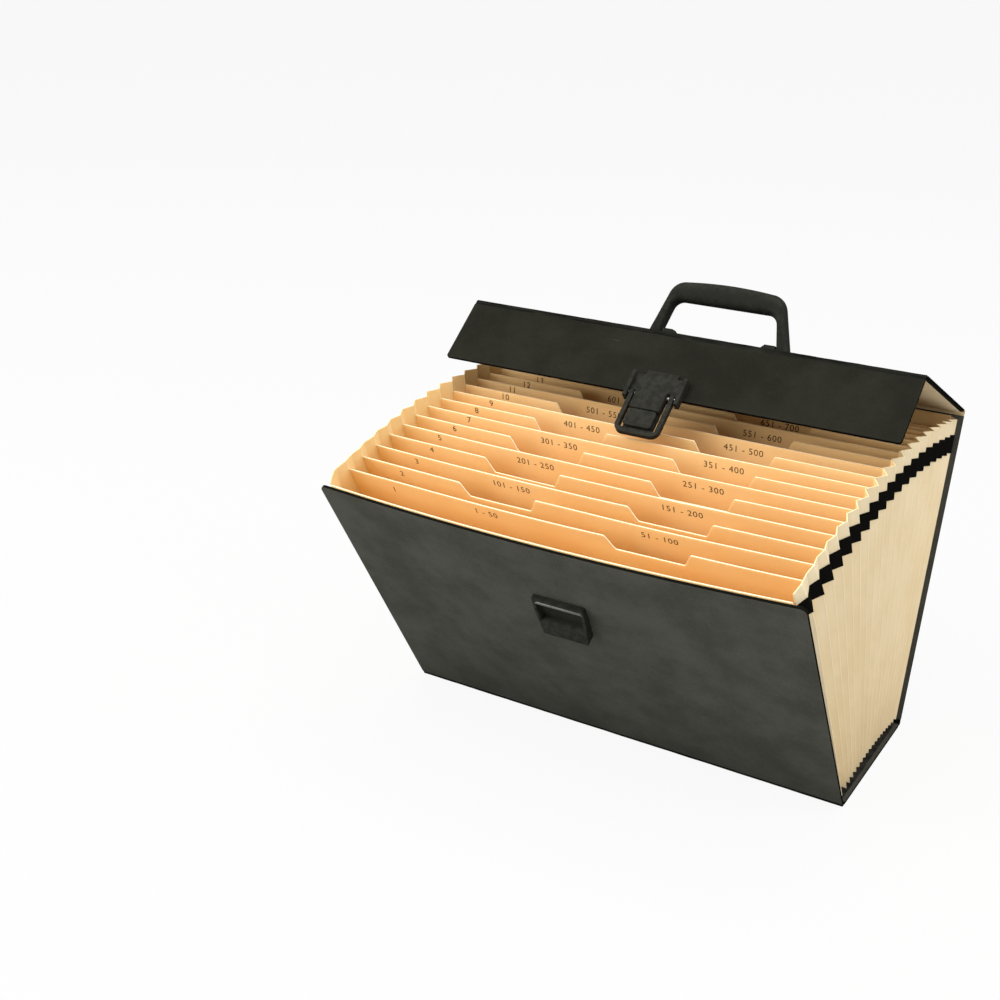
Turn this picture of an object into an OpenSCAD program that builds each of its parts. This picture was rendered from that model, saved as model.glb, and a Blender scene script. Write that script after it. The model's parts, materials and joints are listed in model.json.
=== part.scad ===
// Portable accordion file box: a board case whose pockets fan open, with a lid,
// a front flap with a hasp, a catch on the front board and a carrying handle.
// The origin is the middle of the base's underside, +X is to the right and -Y is the front.

/* [Case] */
// Width of every board of the case
case_w = 381; // [300:1:420]
// Depth of the base board
base_d = 146; // [130:1:170]
// Height of the front board
front_h = 260; // [245:1:264]
// How much taller the back board is than the front board
back_over = 2; // [-2:0.5:26]
// Depth of the lid board
lid_d = 148; // [146:1:154]
// Length of the front flap
flap_l = 59; // [50:1:66]
// Thickness of a covered board
board_t = 2.4; // [1.8:0.1:3]
// Bare gap from a fold's axis to the board beside it
fold_gap = 2.8; // [2.7:0.1:3.4]
// Radius of the front board's free corners
corner_r = 5; // [2:0.5:10]
// Radius of the flap's free corners
flap_corner_r = 2; // [1:0.5:8]
// Thickness of a glued lining sheet
lining_t = 0.5; // [0.3:0.1:0.8]
// Distance from a board's edge to its lining
lining_inset = 3; // [1:0.5:8]
// How far the front board's top edge bows outward at its middle
front_bow = 6; // [0:0.5:8]

/* [Open pose] */
// Lean of the front board, forward from upright
front_tilt = 32; // [20:0.5:34]
// Lean of the back board, backward from upright
back_tilt = 16; // [8:0.5:18]
// Rise of the lid toward its front edge
lid_rise = 25; // [22:0.5:32]
// Slope of the flap, measured from straight down
flap_slope = 51; // [46:0.5:56]

/* [Pockets] */
// Number of pockets between the front board and the back board
pockets = 19; // [12:1:19]
// How far the pleated sides stand above the front board's top edge
pleat_rise = 9; // [0:0.5:12]
// How far the pleated sides stay below the back board's top fold
pleat_drop = 5; // [4:0.5:20]
// How far the leaves' top edges stay below the pleated sides' top edges
leaf_sink = 8.5; // [5:0.5:14]
// How far the leaf on the front board stands above that board's top edge
front_leaf_rise = 1.5; // [0:0.5:4]
// How far the leaf on the back board stays below that board's top fold
back_leaf_drop = 4; // [3.5:0.5:12]
// Thickness of a leaf
leaf_t = 1; // [0.6:0.1:1.4]
// How strongly the rear pockets bunch together
fan_bunch = 0.8; // [0:0.1:0.8]
// Distance from the case's side to the pleats' inner folds
inner_inset = 8.5; // [7:0.5:14]
// Distance from the case's side to the pleats' outer folds
outer_inset = 2.5; // [1:0.5:4]
// Height of the leaves' lower folds above the base's lining
floor_rise = 7; // [5:0.5:10]
// Sideways thickness of the pleated paper
pleat_t = 0.8; // [0.5:0.1:1.2]
// Height of the bare paper above the tape
strip_h = 12.5; // [5:0.5:16]
// Height of the tape band
tape_h = 15; // [10:0.5:20]
// Thickness of the tape band
tape_t = 0.4; // [0.2:0.1:0.6]
// Lift of the outer folds' lower tips at the middle pocket
tip_lift = 7; // [0:0.5:9]

/* [Index notches] */
// Width of an index notch at the leaf's top edge
notch_top_w = 65; // [50:1:80]
// Width of an index notch at its bottom
notch_low_w = 51; // [36:1:66]
// Depth of an index notch
notch_d = 13; // [6:0.5:18]
// Centre of the notch in the odd leaves
notch_odd_x = 69; // [50:1:90]
// Centre of the notch in the even leaves
notch_even_x = -60; // [-90:1:-50]

/* [Handle] */
// Distance between the two pivots' outer faces, across the legs
handle_w = 125; // [115:1:140]
// Width of the handle across its upper bends
grip_w = 103; // [96:1:112]
// Height of the handle above its pivots
handle_h = 47; // [42:1:56]
// Width of the finger opening under the grip
window_w = 94; // [84:1:96]
// Radius of the opening's upper corners
window_r = 10; // [5:0.5:12]
// Radius of the handle's outer bends
bend_r = 14; // [10:0.5:16]
// Radius of the grip's gently crowned top
crown_r = 260; // [200:10:400]
// Drop of the bends below the crown
crown_drop = 2; // [1:0.5:3]
// Height of the grip's section
grip_h = 19; // [14:0.5:22]
// Depth of the grip's section
grip_d = 16; // [12:0.5:20]
// Width of a leg at its foot
leg_w = 11.5; // [9:0.5:14]
// Depth of a leg at its foot
leg_d = 11; // [9:0.5:14]
// Height of the pivots above the lid
pivot_h = 9.5; // [6.5:0.5:11]
// Radius of a pivot pin
pivot_r = 2; // [1.6:0.1:2.8]
// Distance of the handle's pivots from the lid's rear fold
handle_s = 76; // [70:1:80]
// Thickness of the bracket bar
bracket_t = 2.5; // [1.8:0.1:3]
// Depth of the bracket bar
bracket_d = 16; // [13:0.5:20]
// Radius of the bracket bar's corners
bracket_r = 3; // [1:0.5:6]
// Length of a bracket boss, measured inward from its leg
boss_l = 12; // [8:0.5:16]
// Slope at a boss's inner end
boss_slope = 3; // [1:0.5:5]
// Depth of a pin's seat in the leg and in the boss
pin_seat = 8.5; // [6:0.5:9]

/* [Hasp] */
// Width of the hasp's hinge plate
plate_w = 46; // [42:1:52]
// Width of the plate's stepped top
plate_top_w = 26; // [24:1:34]
// Height of the hinge plate above the flap's lower edge
plate_h = 20; // [17:0.5:24]
// Drop of the plate's shoulders below its top
plate_step = 4; // [2:0.5:6]
// Thickness of the hinge plate
plate_t = 3; // [2:0.1:4]
// Height of the rails at the plate's sides
rail_t = 7; // [6:0.5:9]
// Width of a rail
rail_w = 3; // [2:0.5:4]
// How far the rails run past the flap's lower edge
rail_drop = 8; // [6.5:0.5:10]
// Width of the hasp frame
hasp_w = 37; // [34:0.5:39]
// Length of the hasp from its pin to its lower end
hasp_l = 36.5; // [34:0.5:42]
// Width of the frame's side bars
bar_w = 3.5; // [2.5:0.5:4.5]
// How much wider the frame's lower bar is than its side bars
low_bar_extra = 1; // [0:0.5:2]
// Thickness of the frame
bar_t = 4.5; // [3.5:0.5:6]
// Radius of the frame's lower corners
hasp_r = 7; // [4:0.5:9]
// Width of the tongue between the bars
tongue_w = 25; // [20:0.5:25]
// Thickness of the tongue's plate
tongue_t = 2.2; // [1.6:0.1:2.6]
// Radius of the side bars' knuckles
bar_knuckle_r = 2.7; // [2.2:0.1:2.8]
// Radius of the tongue's knuckle
block_r = 4.5; // [4:0.1:4.6]
// Length of the raised block below the pin
block_l = 15; // [9:0.5:16]
// Radius of the hasp's pin
hasp_pin_r = 1.2; // [0.8:0.1:1.5]
// Distance of the pin below the flap's lower edge
hasp_pin_drop = 3; // [2.5:0.1:3.5]
// Height of the pin above the flap's face
hasp_pin_out = 4; // [3.5:0.1:5]
// Gap between the release button and the pieces above and below it
button_gap = 1; // [0.5:0.1:2]
// Radius of the button's corners
button_r = 2; // [1:0.5:4]
// Thickness of the button's cap
button_t = 2.8; // [2:0.1:3.5]
// Travel of the button
button_travel = 1.6; // [1:0.1:2]
// Radius of the button's stem
stem_r = 1.6; // [1.2:0.1:2]

/* [Catch] */
// Height of the catch's middle above the front fold
catch_s = 178; // [150:1:185]
// Width of the catch at its top
catch_top_w = 42; // [38:1:50]
// Width of the catch at its bottom
catch_low_w = 37; // [28:1:40]
// Height of the catch
catch_h = 38; // [34:1:48]
// Height of the catch's upright sides, below which they draw in
catch_side_h = 12; // [6:0.5:16]
// Thickness of the catch's foot plate
catch_foot_t = 1.6; // [1.2:0.1:2.4]
// Depth of the catch at its top
catch_top_d = 4; // [4:0.5:8]
// Depth of the catch at its bottom
catch_low_d = 9; // [8:0.5:13]
// Wall around the catch's mouth
catch_wall = 2.2; // [1.8:0.1:4]
// Height of the catch's mouth
mouth_h = 21; // [15:0.5:22]
// Radius of the keeper rod in the mouth
keeper_r = 1.4; // [0.8:0.1:1.6]

/* [Fasteners] */
// Radius of a rivet's shank
rivet_r = 1.6; // [1.2:0.1:2]
// Radius of a rivet's head
head_r = 3; // [2.4:0.1:3.6]
// Thickness of a rivet's head
head_t = 0.8; // [0.6:0.1:1.2]
// Depth of the hidden rivets in the hasp's hinge plate
hasp_anchor_d = 1.6; // [1:0.1:1.6]
// Depth of the hidden rivets in the catch
catch_anchor_d = 4; // [2:0.5:5]
// Radius of a backing plate's corners
backing_r = 2; // [1:0.5:3]
// Thickness of a backing plate under a board
backing_t = 0.8; // [0.5:0.1:1.2]

/* [Hidden] */
$fn = 48;

CASE_BLACK = "#3b3b36";
FOLD_BLACK = "#2a2a27";
MOULDED_BLACK = "#1c1c1b";
TAPE_BLACK = "#232321";
LEAF_BUFF = "#fbc88c";
PLEAT_CREAM = "#e6d1ab";
STEEL_GREY = "#8c8c8a";

// Bare air between pieces on different bodies, and between turning parts
air = 0.3;
pin_fit = 0.06;
spring_gap = 0.6;
spring_wall = 0.8;
tape_gap = 0.15;
boss_wall = 1.8;
leaf_corner_r = 1;
// How far a cut runs past the faces that it opens
past = 1;
// The upper face of a rivet's head is smaller than its foot
head_taper = 0.7;
// Gap in a glued seam between two pieces of one body
joint_gap = 0.1;
half_w = case_w / 2;
back_h = front_h + back_over;
fold_r = board_t;
fold_z = board_t;
front_y = -base_d / 2 + fold_r;
back_y = base_d / 2 - fold_r;
floor_z = board_t + lining_t;
leaf_z = floor_z + floor_rise;
leaf_h_front = front_h + pleat_rise - leaf_sink - (leaf_z - fold_z);
leaf_h_back = back_h - pleat_drop - leaf_sink - (leaf_z - fold_z);
bead_r = leaf_t;
leaf_half_w = half_w - inner_inset - pleat_t - air;
front_leaf_y = front_y + 2 * bead_r;
back_leaf_y = back_y - 2 * bead_r;
bow_columns = 16;
bow_rows = 5;
corner_rows = 3;

// Places of the leaves: number 0 is the front leaf and number pockets is the back leaf
function share(k) = k / pockets;
function fanned(k) = share(k) + fan_bunch * pow(share(k), 6) * (1 - share(k));
function leaf_tilt(k) = front_tilt - (front_tilt + back_tilt) * fanned(k);
function leaf_y(k) = front_leaf_y + (back_leaf_y - front_leaf_y) * share(k);
function leaf_h(k) = leaf_h_front + (leaf_h_back - leaf_h_front) * share(k);
// A point at height s on a leaf's side edge, as [y, z]
function leaf_point(k, s) = [leaf_y(k) - s * sin(leaf_tilt(k)), leaf_z + s * cos(leaf_tilt(k))];
function between(a, b) = (a + b) / 2;
// The side edges of the end leaves, which lie on the boards
function edge_point(k, s) =
    k == 0 ? [front_y - (s + leaf_z - fold_z) * sin(front_tilt) + (leaf_t + air) * cos(front_tilt),
              fold_z + (s + leaf_z - fold_z) * cos(front_tilt) + (leaf_t + air) * sin(front_tilt)]
    : k == pockets ? [back_y + (s + leaf_z - fold_z) * sin(back_tilt) - (leaf_t + air) * cos(back_tilt),
                      fold_z + (s + leaf_z - fold_z) * cos(back_tilt) + (leaf_t + air) * sin(back_tilt)]
    : leaf_point(k, s);

// The pleats' fold lines from front to rear: even numbers are inner folds, odd ones outer folds
folds = 2 * pockets;
function fold_inset(n) = n % 2 == 0 ? inner_inset : outer_inset;
function tip_z(n) = leaf_z - floor_rise / 2 + tip_lift * sin(180 * n / folds);
// A point of fold line n at a distance down from the pleated sides' top edges, as [y, z]
function edge_top(k, down) = edge_point(k, leaf_h(k) + leaf_sink - down);
function fold_top(n, down) = n % 2 == 0 ? edge_top(n / 2, down)
    : between(edge_top((n - 1) / 2, down), edge_top((n + 1) / 2, down));
function fold_low(n) = n % 2 == 0 ? edge_point(n / 2, bead_r)
    : [between(edge_point((n - 1) / 2, 0)[0], edge_point((n + 1) / 2, 0)[0]), tip_z(n)];

// Frames of the boards: x along the fold, y away from it along the board.
// On the front board z points outward; on the back board, the lid and the flap it points inward.
module on_front() translate([0, front_y, fold_z]) rotate([90 + front_tilt, 0, 0]) children();
module on_back() translate([0, back_y, fold_z]) rotate([90 - back_tilt, 0, 0]) children();
module on_lid() on_back() translate([0, back_h, 0]) rotate([90 - lid_rise + back_tilt, 0, 0]) children();
module on_flap() on_lid() translate([0, lid_d, 0]) rotate([90 - flap_slope + lid_rise, 0, 0]) children();
module on_leaf(k) translate([0, leaf_y(k), leaf_z]) rotate([90 + leaf_tilt(k), 0, 0]) children();
// The lid's top at the handle, and the flap's face at its lower edge: z outward, y back up the board
module on_lid_top() on_lid() translate([0, handle_s, -board_t]) rotate([180, 0, 0]) children();
module on_flap_face() on_flap() translate([0, flap_l, -board_t]) rotate([180, 0, 0]) children();
module at_hasp() on_flap_face() translate([0, -hasp_pin_drop, hasp_pin_out]) children();
// The bowed front board's face at the catch
module on_catch() on_front()
    translate([0, catch_s, board_t + front_bow * catch_s / front_h + joint_gap])
    rotate([atan(front_bow / front_h), 0, 0]) children();

// A sheet from y0 to y1 with its two far corners rounded
module rounded_sheet(w, y0, y1, r, t) {
    linear_extrude(t) union() {
        translate([-w / 2, y0]) square([w, y1 - y0 - r]);
        translate([-w / 2 + r, y0]) square([w - 2 * r, y1 - y0]);
        for (side = [-1, 1]) translate([side * (w / 2 - r), y1 - r]) circle(r);
    }
}
// A plate centred on x and y with four rounded corners
module round_plate(w, h, r, t) {
    linear_extrude(t) union() {
        square([w - 2 * r, h], center = true);
        square([w, h - 2 * r], center = true);
        for (x = [-1, 1], y = [-1, 1]) translate([x * (w / 2 - r), y * (h / 2 - r)]) circle(r);
    }
}
// A round rod along x, centred
module rod(r, l) rotate([0, 90, 0]) cylinder(r = r, h = l, center = true);
// A rivet along z: its shank goes down from z = 0 to a flat head
module hidden_rivet(grip) {
    translate([0, 0, -grip]) cylinder(r = rivet_r, h = grip);
    translate([0, 0, -grip - head_t]) cylinder(r = head_r, h = head_t);
}
// A rivet with a second head, which stands on z = 0
module rivet(grip) {
    hidden_rivet(grip);
    cylinder(r1 = head_r, r2 = head_r * head_taper, h = head_t);
}

// A sheet bowed outward toward its top: rows climb the board, columns cross it
function row_heights(y0, y1, r) = concat(
    [for (i = [0:corner_rows - 1]) y0 + r * (1 - cos(90 * i / corner_rows))],
    [for (i = [0:bow_rows]) y0 + r + (y1 - y0 - 2 * r) * i / bow_rows],
    [for (i = [1:corner_rows]) y1 - r + r * sin(90 * i / corner_rows)]);
function half_width_at(y, y0, y1, w, r) =
    let (d = max(0, y0 + r - y, y - (y1 - r))) w / 2 - r + sqrt(max(0, r * r - d * d));
module bowed_sheet(w, y0, y1, r, z0, t) {
    ys = row_heights(y0, y1, r);
    columns = bow_columns + 1;
    layer = len(ys) * columns;
    function bow_at(x, y) = front_bow * y / front_h * (1 - pow(2 * x / case_w, 2));
    points = [for (z = [z0, z0 + t], y = ys, c = [0:bow_columns])
        let (x = half_width_at(y, y0, y1, w, r) * (2 * c / bow_columns - 1)) [x, y, z + bow_at(x, y)]];
    function at(side, row, column) = side * layer + row * columns + column;
    rows = len(ys) - 1;
    skins = [for (row = [0:rows - 1], c = [0:bow_columns - 1], face = [0:3])
        face == 0 ? [at(0, row, c), at(0, row + 1, c), at(0, row + 1, c + 1)]
        : face == 1 ? [at(0, row, c), at(0, row + 1, c + 1), at(0, row, c + 1)]
        : face == 2 ? [at(1, row, c), at(1, row + 1, c + 1), at(1, row + 1, c)]
        : [at(1, row, c), at(1, row, c + 1), at(1, row + 1, c + 1)]];
    ends = [for (c = [0:bow_columns - 1], face = [0:3])
        face == 0 ? [at(0, 0, c), at(0, 0, c + 1), at(1, 0, c + 1)]
        : face == 1 ? [at(0, 0, c), at(1, 0, c + 1), at(1, 0, c)]
        : face == 2 ? [at(0, rows, c), at(1, rows, c + 1), at(0, rows, c + 1)]
        : [at(0, rows, c), at(1, rows, c), at(1, rows, c + 1)]];
    sides = [for (row = [0:rows - 1], face = [0:3])
        face == 0 ? [at(0, row, 0), at(1, row, 0), at(1, row + 1, 0)]
        : face == 1 ? [at(0, row, 0), at(1, row + 1, 0), at(0, row + 1, 0)]
        : face == 2 ? [at(0, row, bow_columns), at(1, row + 1, bow_columns), at(1, row, bow_columns)]
        : [at(0, row, bow_columns), at(0, row + 1, bow_columns), at(1, row + 1, bow_columns)]];
    polyhedron(points, concat(skins, ends, sides));
}

// A pleated band along one side. Each row is a list of points, one for every fold line, and the
// rows go from the band's low edge to its high edge.
module pleated_band(side, rows, x_off, t) {
    count = folds + 1;
    last = len(rows) - 1;
    points = [for (layer = [0, 1], row = rows, n = [0:folds])
        [side * (half_w - fold_inset(n) + x_off - layer * t), row[n][0], row[n][1]]];
    function at(layer, row, n) = (layer * (last + 1) + row) * count + n;
    walls = [for (row = [0:last - 1], n = [0:folds - 1], face = [0:3])
        face == 0 ? [at(0, row, n), at(0, row + 1, n), at(0, row + 1, n + 1)]
        : face == 1 ? [at(0, row, n), at(0, row + 1, n + 1), at(0, row, n + 1)]
        : face == 2 ? [at(1, row, n), at(1, row + 1, n + 1), at(1, row + 1, n)]
        : [at(1, row, n), at(1, row, n + 1), at(1, row + 1, n + 1)]];
    rims = [for (n = [0:folds - 1], face = [0:3])
        face == 0 ? [at(0, 0, n), at(0, 0, n + 1), at(1, 0, n + 1)]
        : face == 1 ? [at(0, 0, n), at(1, 0, n + 1), at(1, 0, n)]
        : face == 2 ? [at(0, last, n), at(1, last, n + 1), at(0, last, n + 1)]
        : [at(0, last, n), at(1, last, n), at(1, last, n + 1)]];
    ends = [for (row = [0:last - 1], face = [0:3])
        face == 0 ? [at(0, row, 0), at(1, row, 0), at(1, row + 1, 0)]
        : face == 1 ? [at(0, row, 0), at(1, row + 1, 0), at(0, row + 1, 0)]
        : face == 2 ? [at(0, row, folds), at(1, row + 1, folds), at(1, row, folds)]
        : [at(0, row, folds), at(0, row + 1, folds), at(1, row + 1, folds)]];
    faces = concat(walls, rims, ends);
    polyhedron(points, side > 0 ? faces : [for (f = faces) [f[0], f[2], f[1]]]);
}

// Base
module base_board() color(CASE_BLACK)
    translate([-half_w, front_y + fold_gap, 0]) cube([case_w, back_y - front_y - 2 * fold_gap, board_t]);
module base_lining() color(TAPE_BLACK)
    translate([-half_w + lining_inset, front_y + fold_gap + lining_inset, board_t])
    cube([case_w - 2 * lining_inset, back_y - front_y - 2 * (fold_gap + lining_inset), lining_t]);
module front_bottom_fold() color(FOLD_BLACK) translate([0, front_y, fold_z]) rod(fold_r, case_w);
module back_bottom_fold() color(FOLD_BLACK) translate([0, back_y, fold_z]) rod(fold_r, case_w);
// The pockets' folded paper bottom: a ridge under every leaf and a valley under every pocket
module pocket_floor() {
    ridge_z = leaf_z - bead_r - air - pleat_t;
    ridges = [for (n = [2:folds - 2]) [leaf_y(n / 2), n % 2 == 0 ? ridge_z : floor_z]];
    color(PLEAT_CREAM) translate([-leaf_half_w, 0, 0]) rotate([90, 0, 90])
        linear_extrude(2 * leaf_half_w) polygon(concat(
            [for (p = ridges) p + [0, pleat_t]],
            [for (i = [len(ridges) - 1:-1:0]) ridges[i]]));
}

// Front board with its leaf and catch
module front_board() color(CASE_BLACK) difference() {
    on_front() bowed_sheet(case_w, fold_gap, front_h, corner_r, 0, board_t);
    catch_rivet_holes();
}
module front_leaf() color(LEAF_BUFF) difference() {
    on_front() bowed_sheet(2 * leaf_half_w, leaf_z - fold_z, front_h + front_leaf_rise, leaf_corner_r,
        -leaf_t - joint_gap, leaf_t);
    catch_rivet_holes();
}
// Half of the catch's width at height y, wider at its top
catch_draw = (catch_top_w - catch_low_w) / 2 / (catch_h - catch_side_h);
function catch_half_w(y) = catch_top_w / 2 - catch_draw * max(0, catch_h / 2 - catch_side_h - y);
module catch_outline(y0, y1, wall) polygon([
    for (y = [y0, catch_h / 2 - catch_side_h, y1]) [catch_half_w(y) - wall, y],
    for (y = [y1, catch_h / 2 - catch_side_h, y0]) [wall - catch_half_w(y), y]]);
mouth_top = catch_h / 2 - catch_wall;
mouth_low = mouth_top - mouth_h;
keeper_y = mouth_top - 2 * keeper_r;
keeper_z = catch_foot_t + keeper_r + air;
keeper_l = catch_top_w - catch_wall;
catch_rivet_y = between(mouth_low, -catch_h / 2);
catch_grip = catch_anchor_d + board_t + leaf_t + backing_t + 3 * joint_gap;
module catch_rivet_places() {
    for (side = [-1, 1]) translate([side * catch_low_w / 4, catch_rivet_y, catch_anchor_d]) children();
}
module catch_rivet_holes() {
    on_catch() catch_rivet_places() translate([0, 0, -catch_grip - air])
        cylinder(r = rivet_r + air, h = catch_grip + 2 * air);
}
module catch() color(MOULDED_BLACK) difference() {
    on_catch() difference() {
        intersection() {
            linear_extrude(catch_low_d) catch_outline(-catch_h / 2, catch_h / 2, 0);
            // the face leans outward toward its lower end
            translate([-catch_top_w / 2, 0, 0]) rotate([90, 0, 90]) linear_extrude(catch_top_w)
                polygon([[catch_h / 2, 0], [catch_h / 2, catch_top_d],
                    [-catch_h / 2, catch_low_d], [-catch_h / 2, 0]]);
        }
        translate([0, 0, catch_foot_t]) linear_extrude(catch_low_d)
            catch_outline(mouth_low, mouth_top, catch_wall);
        translate([0, keeper_y, keeper_z]) rod(keeper_r + pin_fit, keeper_l);
    }
    catch_rivet_holes();
}
module catch_keeper() color(STEEL_GREY) on_catch()
    translate([0, keeper_y, keeper_z]) rod(keeper_r, keeper_l - air);
module catch_rivets() color(STEEL_GREY) on_catch() catch_rivet_places() hidden_rivet(catch_grip);
module catch_backing_plate() color(STEEL_GREY) difference() {
    on_catch() translate([0, catch_rivet_y, catch_anchor_d - catch_grip])
        round_plate(catch_low_w, mouth_low + catch_h / 2, backing_r, backing_t);
    catch_rivet_holes();
}

// Index leaves
module leaf_outline(k) {
    notch_x = k % 2 == 1 ? notch_odd_x : notch_even_x;
    polygon([
        [-leaf_half_w, 0], [leaf_half_w, 0], [leaf_half_w, leaf_h(k)],
        [notch_x + notch_top_w / 2, leaf_h(k)], [notch_x + notch_low_w / 2, leaf_h(k) - notch_d],
        [notch_x - notch_low_w / 2, leaf_h(k) - notch_d], [notch_x - notch_top_w / 2, leaf_h(k)],
        [-leaf_half_w, leaf_h(k)]]);
}
module leaf(k) color(LEAF_BUFF) on_leaf(k) {
    translate([0, 0, -leaf_t / 2]) linear_extrude(leaf_t) leaf_outline(k);
    rod(bead_r, 2 * leaf_half_w);
}

// Back board with its leaf
module back_board() color(CASE_BLACK) on_back() translate([-half_w, fold_gap, -board_t])
    cube([case_w, back_h - 2 * fold_gap, board_t]);
module back_leaf() color(LEAF_BUFF) on_back() translate([-leaf_half_w, leaf_z - fold_z, joint_gap])
    cube([2 * leaf_half_w, back_h - back_leaf_drop - (leaf_z - fold_z), leaf_t]);

// Pleated sides and their tape
function fold_row(down) = [for (n = [0:folds]) fold_top(n, down)];
tape_rows = [fold_row(strip_h + tape_h), fold_row(strip_h)];
module gusset(side) color(PLEAT_CREAM) pleated_band(side,
    concat([[for (n = [0:folds]) fold_low(n)]], tape_rows, [fold_row(0)]), 0, pleat_t);
module tape(side) color(TAPE_BLACK) pleated_band(side, tape_rows, tape_t + tape_gap, tape_t);

// Lid
module back_top_fold() color(FOLD_BLACK) on_lid() rod(fold_r, case_w);
module lid_board() color(CASE_BLACK) on_lid() difference() {
    translate([-half_w, fold_gap, -board_t]) cube([case_w, lid_d - 2 * fold_gap, board_t]);
    for (side = [-1, 1]) translate([side * rivet_x, handle_s, -board_t - air])
        cylinder(r = rivet_r + air, h = board_t + 2 * air);
}
module lid_lining() color(PLEAT_CREAM) on_lid() difference() {
    translate([-half_w + lining_inset, fold_gap + lining_inset, 0])
        cube([case_w - 2 * lining_inset, lid_d - 2 * (fold_gap + lining_inset), lining_t]);
    for (side = [-1, 1]) translate([side * rivet_x, handle_s, -air])
        cylinder(r = rivet_r + air, h = lining_t + 2 * air);
}

// Handle, hung on pins between its bracket's bosses and its legs
inner_foot = handle_w / 2 - leg_w;
leg_lean = (inner_foot - window_w / 2) / (handle_h - grip_h - window_r);
boss_r = pivot_r + boss_wall;
boss_top = pivot_h + boss_r;
boss_face = inner_foot - boss_r * leg_lean - air;
rivet_x = boss_face - boss_l - 2 * head_r;
module handle_bracket() color(MOULDED_BLACK) on_lid_top() difference() {
    union() {
        round_plate(2 * boss_face, bracket_d, bracket_r, bracket_t);
        for (side = [0, 1]) mirror([side, 0, 0]) rotate([90, 0, 0])
            translate([boss_face - boss_l, 0, -boss_r]) linear_extrude(2 * boss_r)
                polygon([[0, 0], [boss_l, 0], [boss_l, boss_top],
                    [boss_slope, boss_top], [0, boss_top - boss_slope]]);
    }
    for (side = [-1, 1]) translate([side * boss_face, 0, pivot_h]) rod(pivot_r + pin_fit, 2 * pin_seat);
    for (side = [-1, 1]) translate([side * rivet_x, 0, -air])
        cylinder(r = rivet_r + air, h = bracket_t + 2 * air);
}
module bracket_rivets() color(STEEL_GREY) on_lid_top()
    for (side = [-1, 1]) translate([side * rivet_x, 0, bracket_t])
        rivet(bracket_t + board_t + lining_t + backing_t);
module bracket_backing_plate() color(STEEL_GREY) on_lid() difference() {
    translate([0, handle_s, lining_t])
        round_plate(2 * rivet_x + 4 * head_r, bracket_d, bracket_r, backing_t);
    for (side = [-1, 1]) translate([side * rivet_x, handle_s, 0])
        cylinder(r = rivet_r + air, h = 2 * backing_t + lining_t);
}
// The handle's face: splayed legs, rounded bends and a slightly crowned grip
module handle_outline() {
    top = pivot_h + handle_h;
    crown_w = grip_w - 2 * bend_r;
    corner = 1;
    difference() {
        hull() {
            for (side = [-1, 1]) {
                translate([side * (handle_w - leg_w) / 2, pivot_h]) circle(leg_w / 2);
                translate([side * (grip_w / 2 - bend_r), top - bend_r - crown_drop]) circle(bend_r);
            }
            intersection() {
                translate([0, top - crown_r]) circle(crown_r, $fn = 240);
                translate([-crown_w / 2, top - bend_r]) square([crown_w, bend_r]);
            }
        }
        hull() {
            for (side = [-1, 1]) {
                translate([side * (window_w / 2 - window_r), top - grip_h - window_r]) circle(window_r);
                translate([side * (inner_foot + leg_lean * leg_w - corner), pivot_h - leg_w]) circle(corner);
            }
        }
    }
}
// The handle's side: slim at the feet and full at the grip
module handle_side() hull() {
    translate([0, pivot_h]) circle(leg_d / 2);
    translate([0, pivot_h + handle_h - grip_d / 2]) circle(grip_d / 2);
}
module handle() color(MOULDED_BLACK) on_lid_top() difference() {
    intersection() {
        rotate([90, 0, 0]) translate([0, 0, -grip_d]) linear_extrude(2 * grip_d) handle_outline();
        rotate([90, 0, 90]) translate([0, 0, -handle_w]) linear_extrude(2 * handle_w) handle_side();
    }
    for (side = [-1, 1]) translate([side * inner_foot, 0, pivot_h]) rod(pivot_r + pin_fit, 2 * pin_seat);
}
module handle_pins() color(STEEL_GREY) on_lid_top()
    for (side = [-1, 1]) translate([side * between(boss_face, inner_foot), 0, pivot_h])
        rod(pivot_r, 2 * (pin_seat - air) + inner_foot - boss_face);

// Flap
module lid_front_fold() color(FOLD_BLACK) on_flap() rod(fold_r, case_w);
module hasp_rivet_holes() {
    for (side = [-1, 1]) translate([side * hasp_rivet_x, flap_l - hasp_rivet_y, -board_t - air])
        cylinder(r = rivet_r + air, h = board_t + lining_t + backing_t + 2 * air);
}
module flap_board() color(CASE_BLACK) on_flap() difference() {
    translate([0, 0, -board_t]) rounded_sheet(case_w, fold_gap, flap_l, flap_corner_r, board_t);
    hasp_rivet_holes();
}
module flap_lining() color(TAPE_BLACK) on_flap() difference() {
    rounded_sheet(case_w - 2 * lining_inset, fold_gap + lining_inset, flap_l - lining_inset,
        flap_corner_r, lining_t);
    hasp_rivet_holes();
}

// Hasp
hasp_rivet_x = plate_top_w / 3;
rail_x = (plate_w - rail_w) / 2;
shoulder_h = plate_h - plate_step;
knuckle_notch = block_r - hasp_pin_drop + 2 * air;
hasp_rivet_y = between(knuckle_notch, plate_h);
module hasp_plate() color(MOULDED_BLACK) on_flap_face() difference() {
    union() {
        translate([-plate_w / 2, 0, 0]) cube([plate_w, shoulder_h, plate_t]);
        translate([-plate_top_w / 2, 0, 0]) cube([plate_top_w, plate_h, plate_t]);
        for (side = [-1, 1]) translate([side * rail_x - rail_w / 2, -rail_drop, 0])
            cube([rail_w, rail_drop + shoulder_h, rail_t]);
    }
    translate([-tongue_w / 2 - air, -past, -past])
        cube([tongue_w + 2 * air, knuckle_notch + past, plate_t + 2 * past]);
    translate([0, -hasp_pin_drop, hasp_pin_out]) rod(hasp_pin_r + pin_fit, plate_w - rail_w);
    for (side = [-1, 1]) translate([side * hasp_rivet_x, hasp_rivet_y, -air])
        cylinder(r = rivet_r + air, h = hasp_anchor_d + 2 * air);
}
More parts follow.
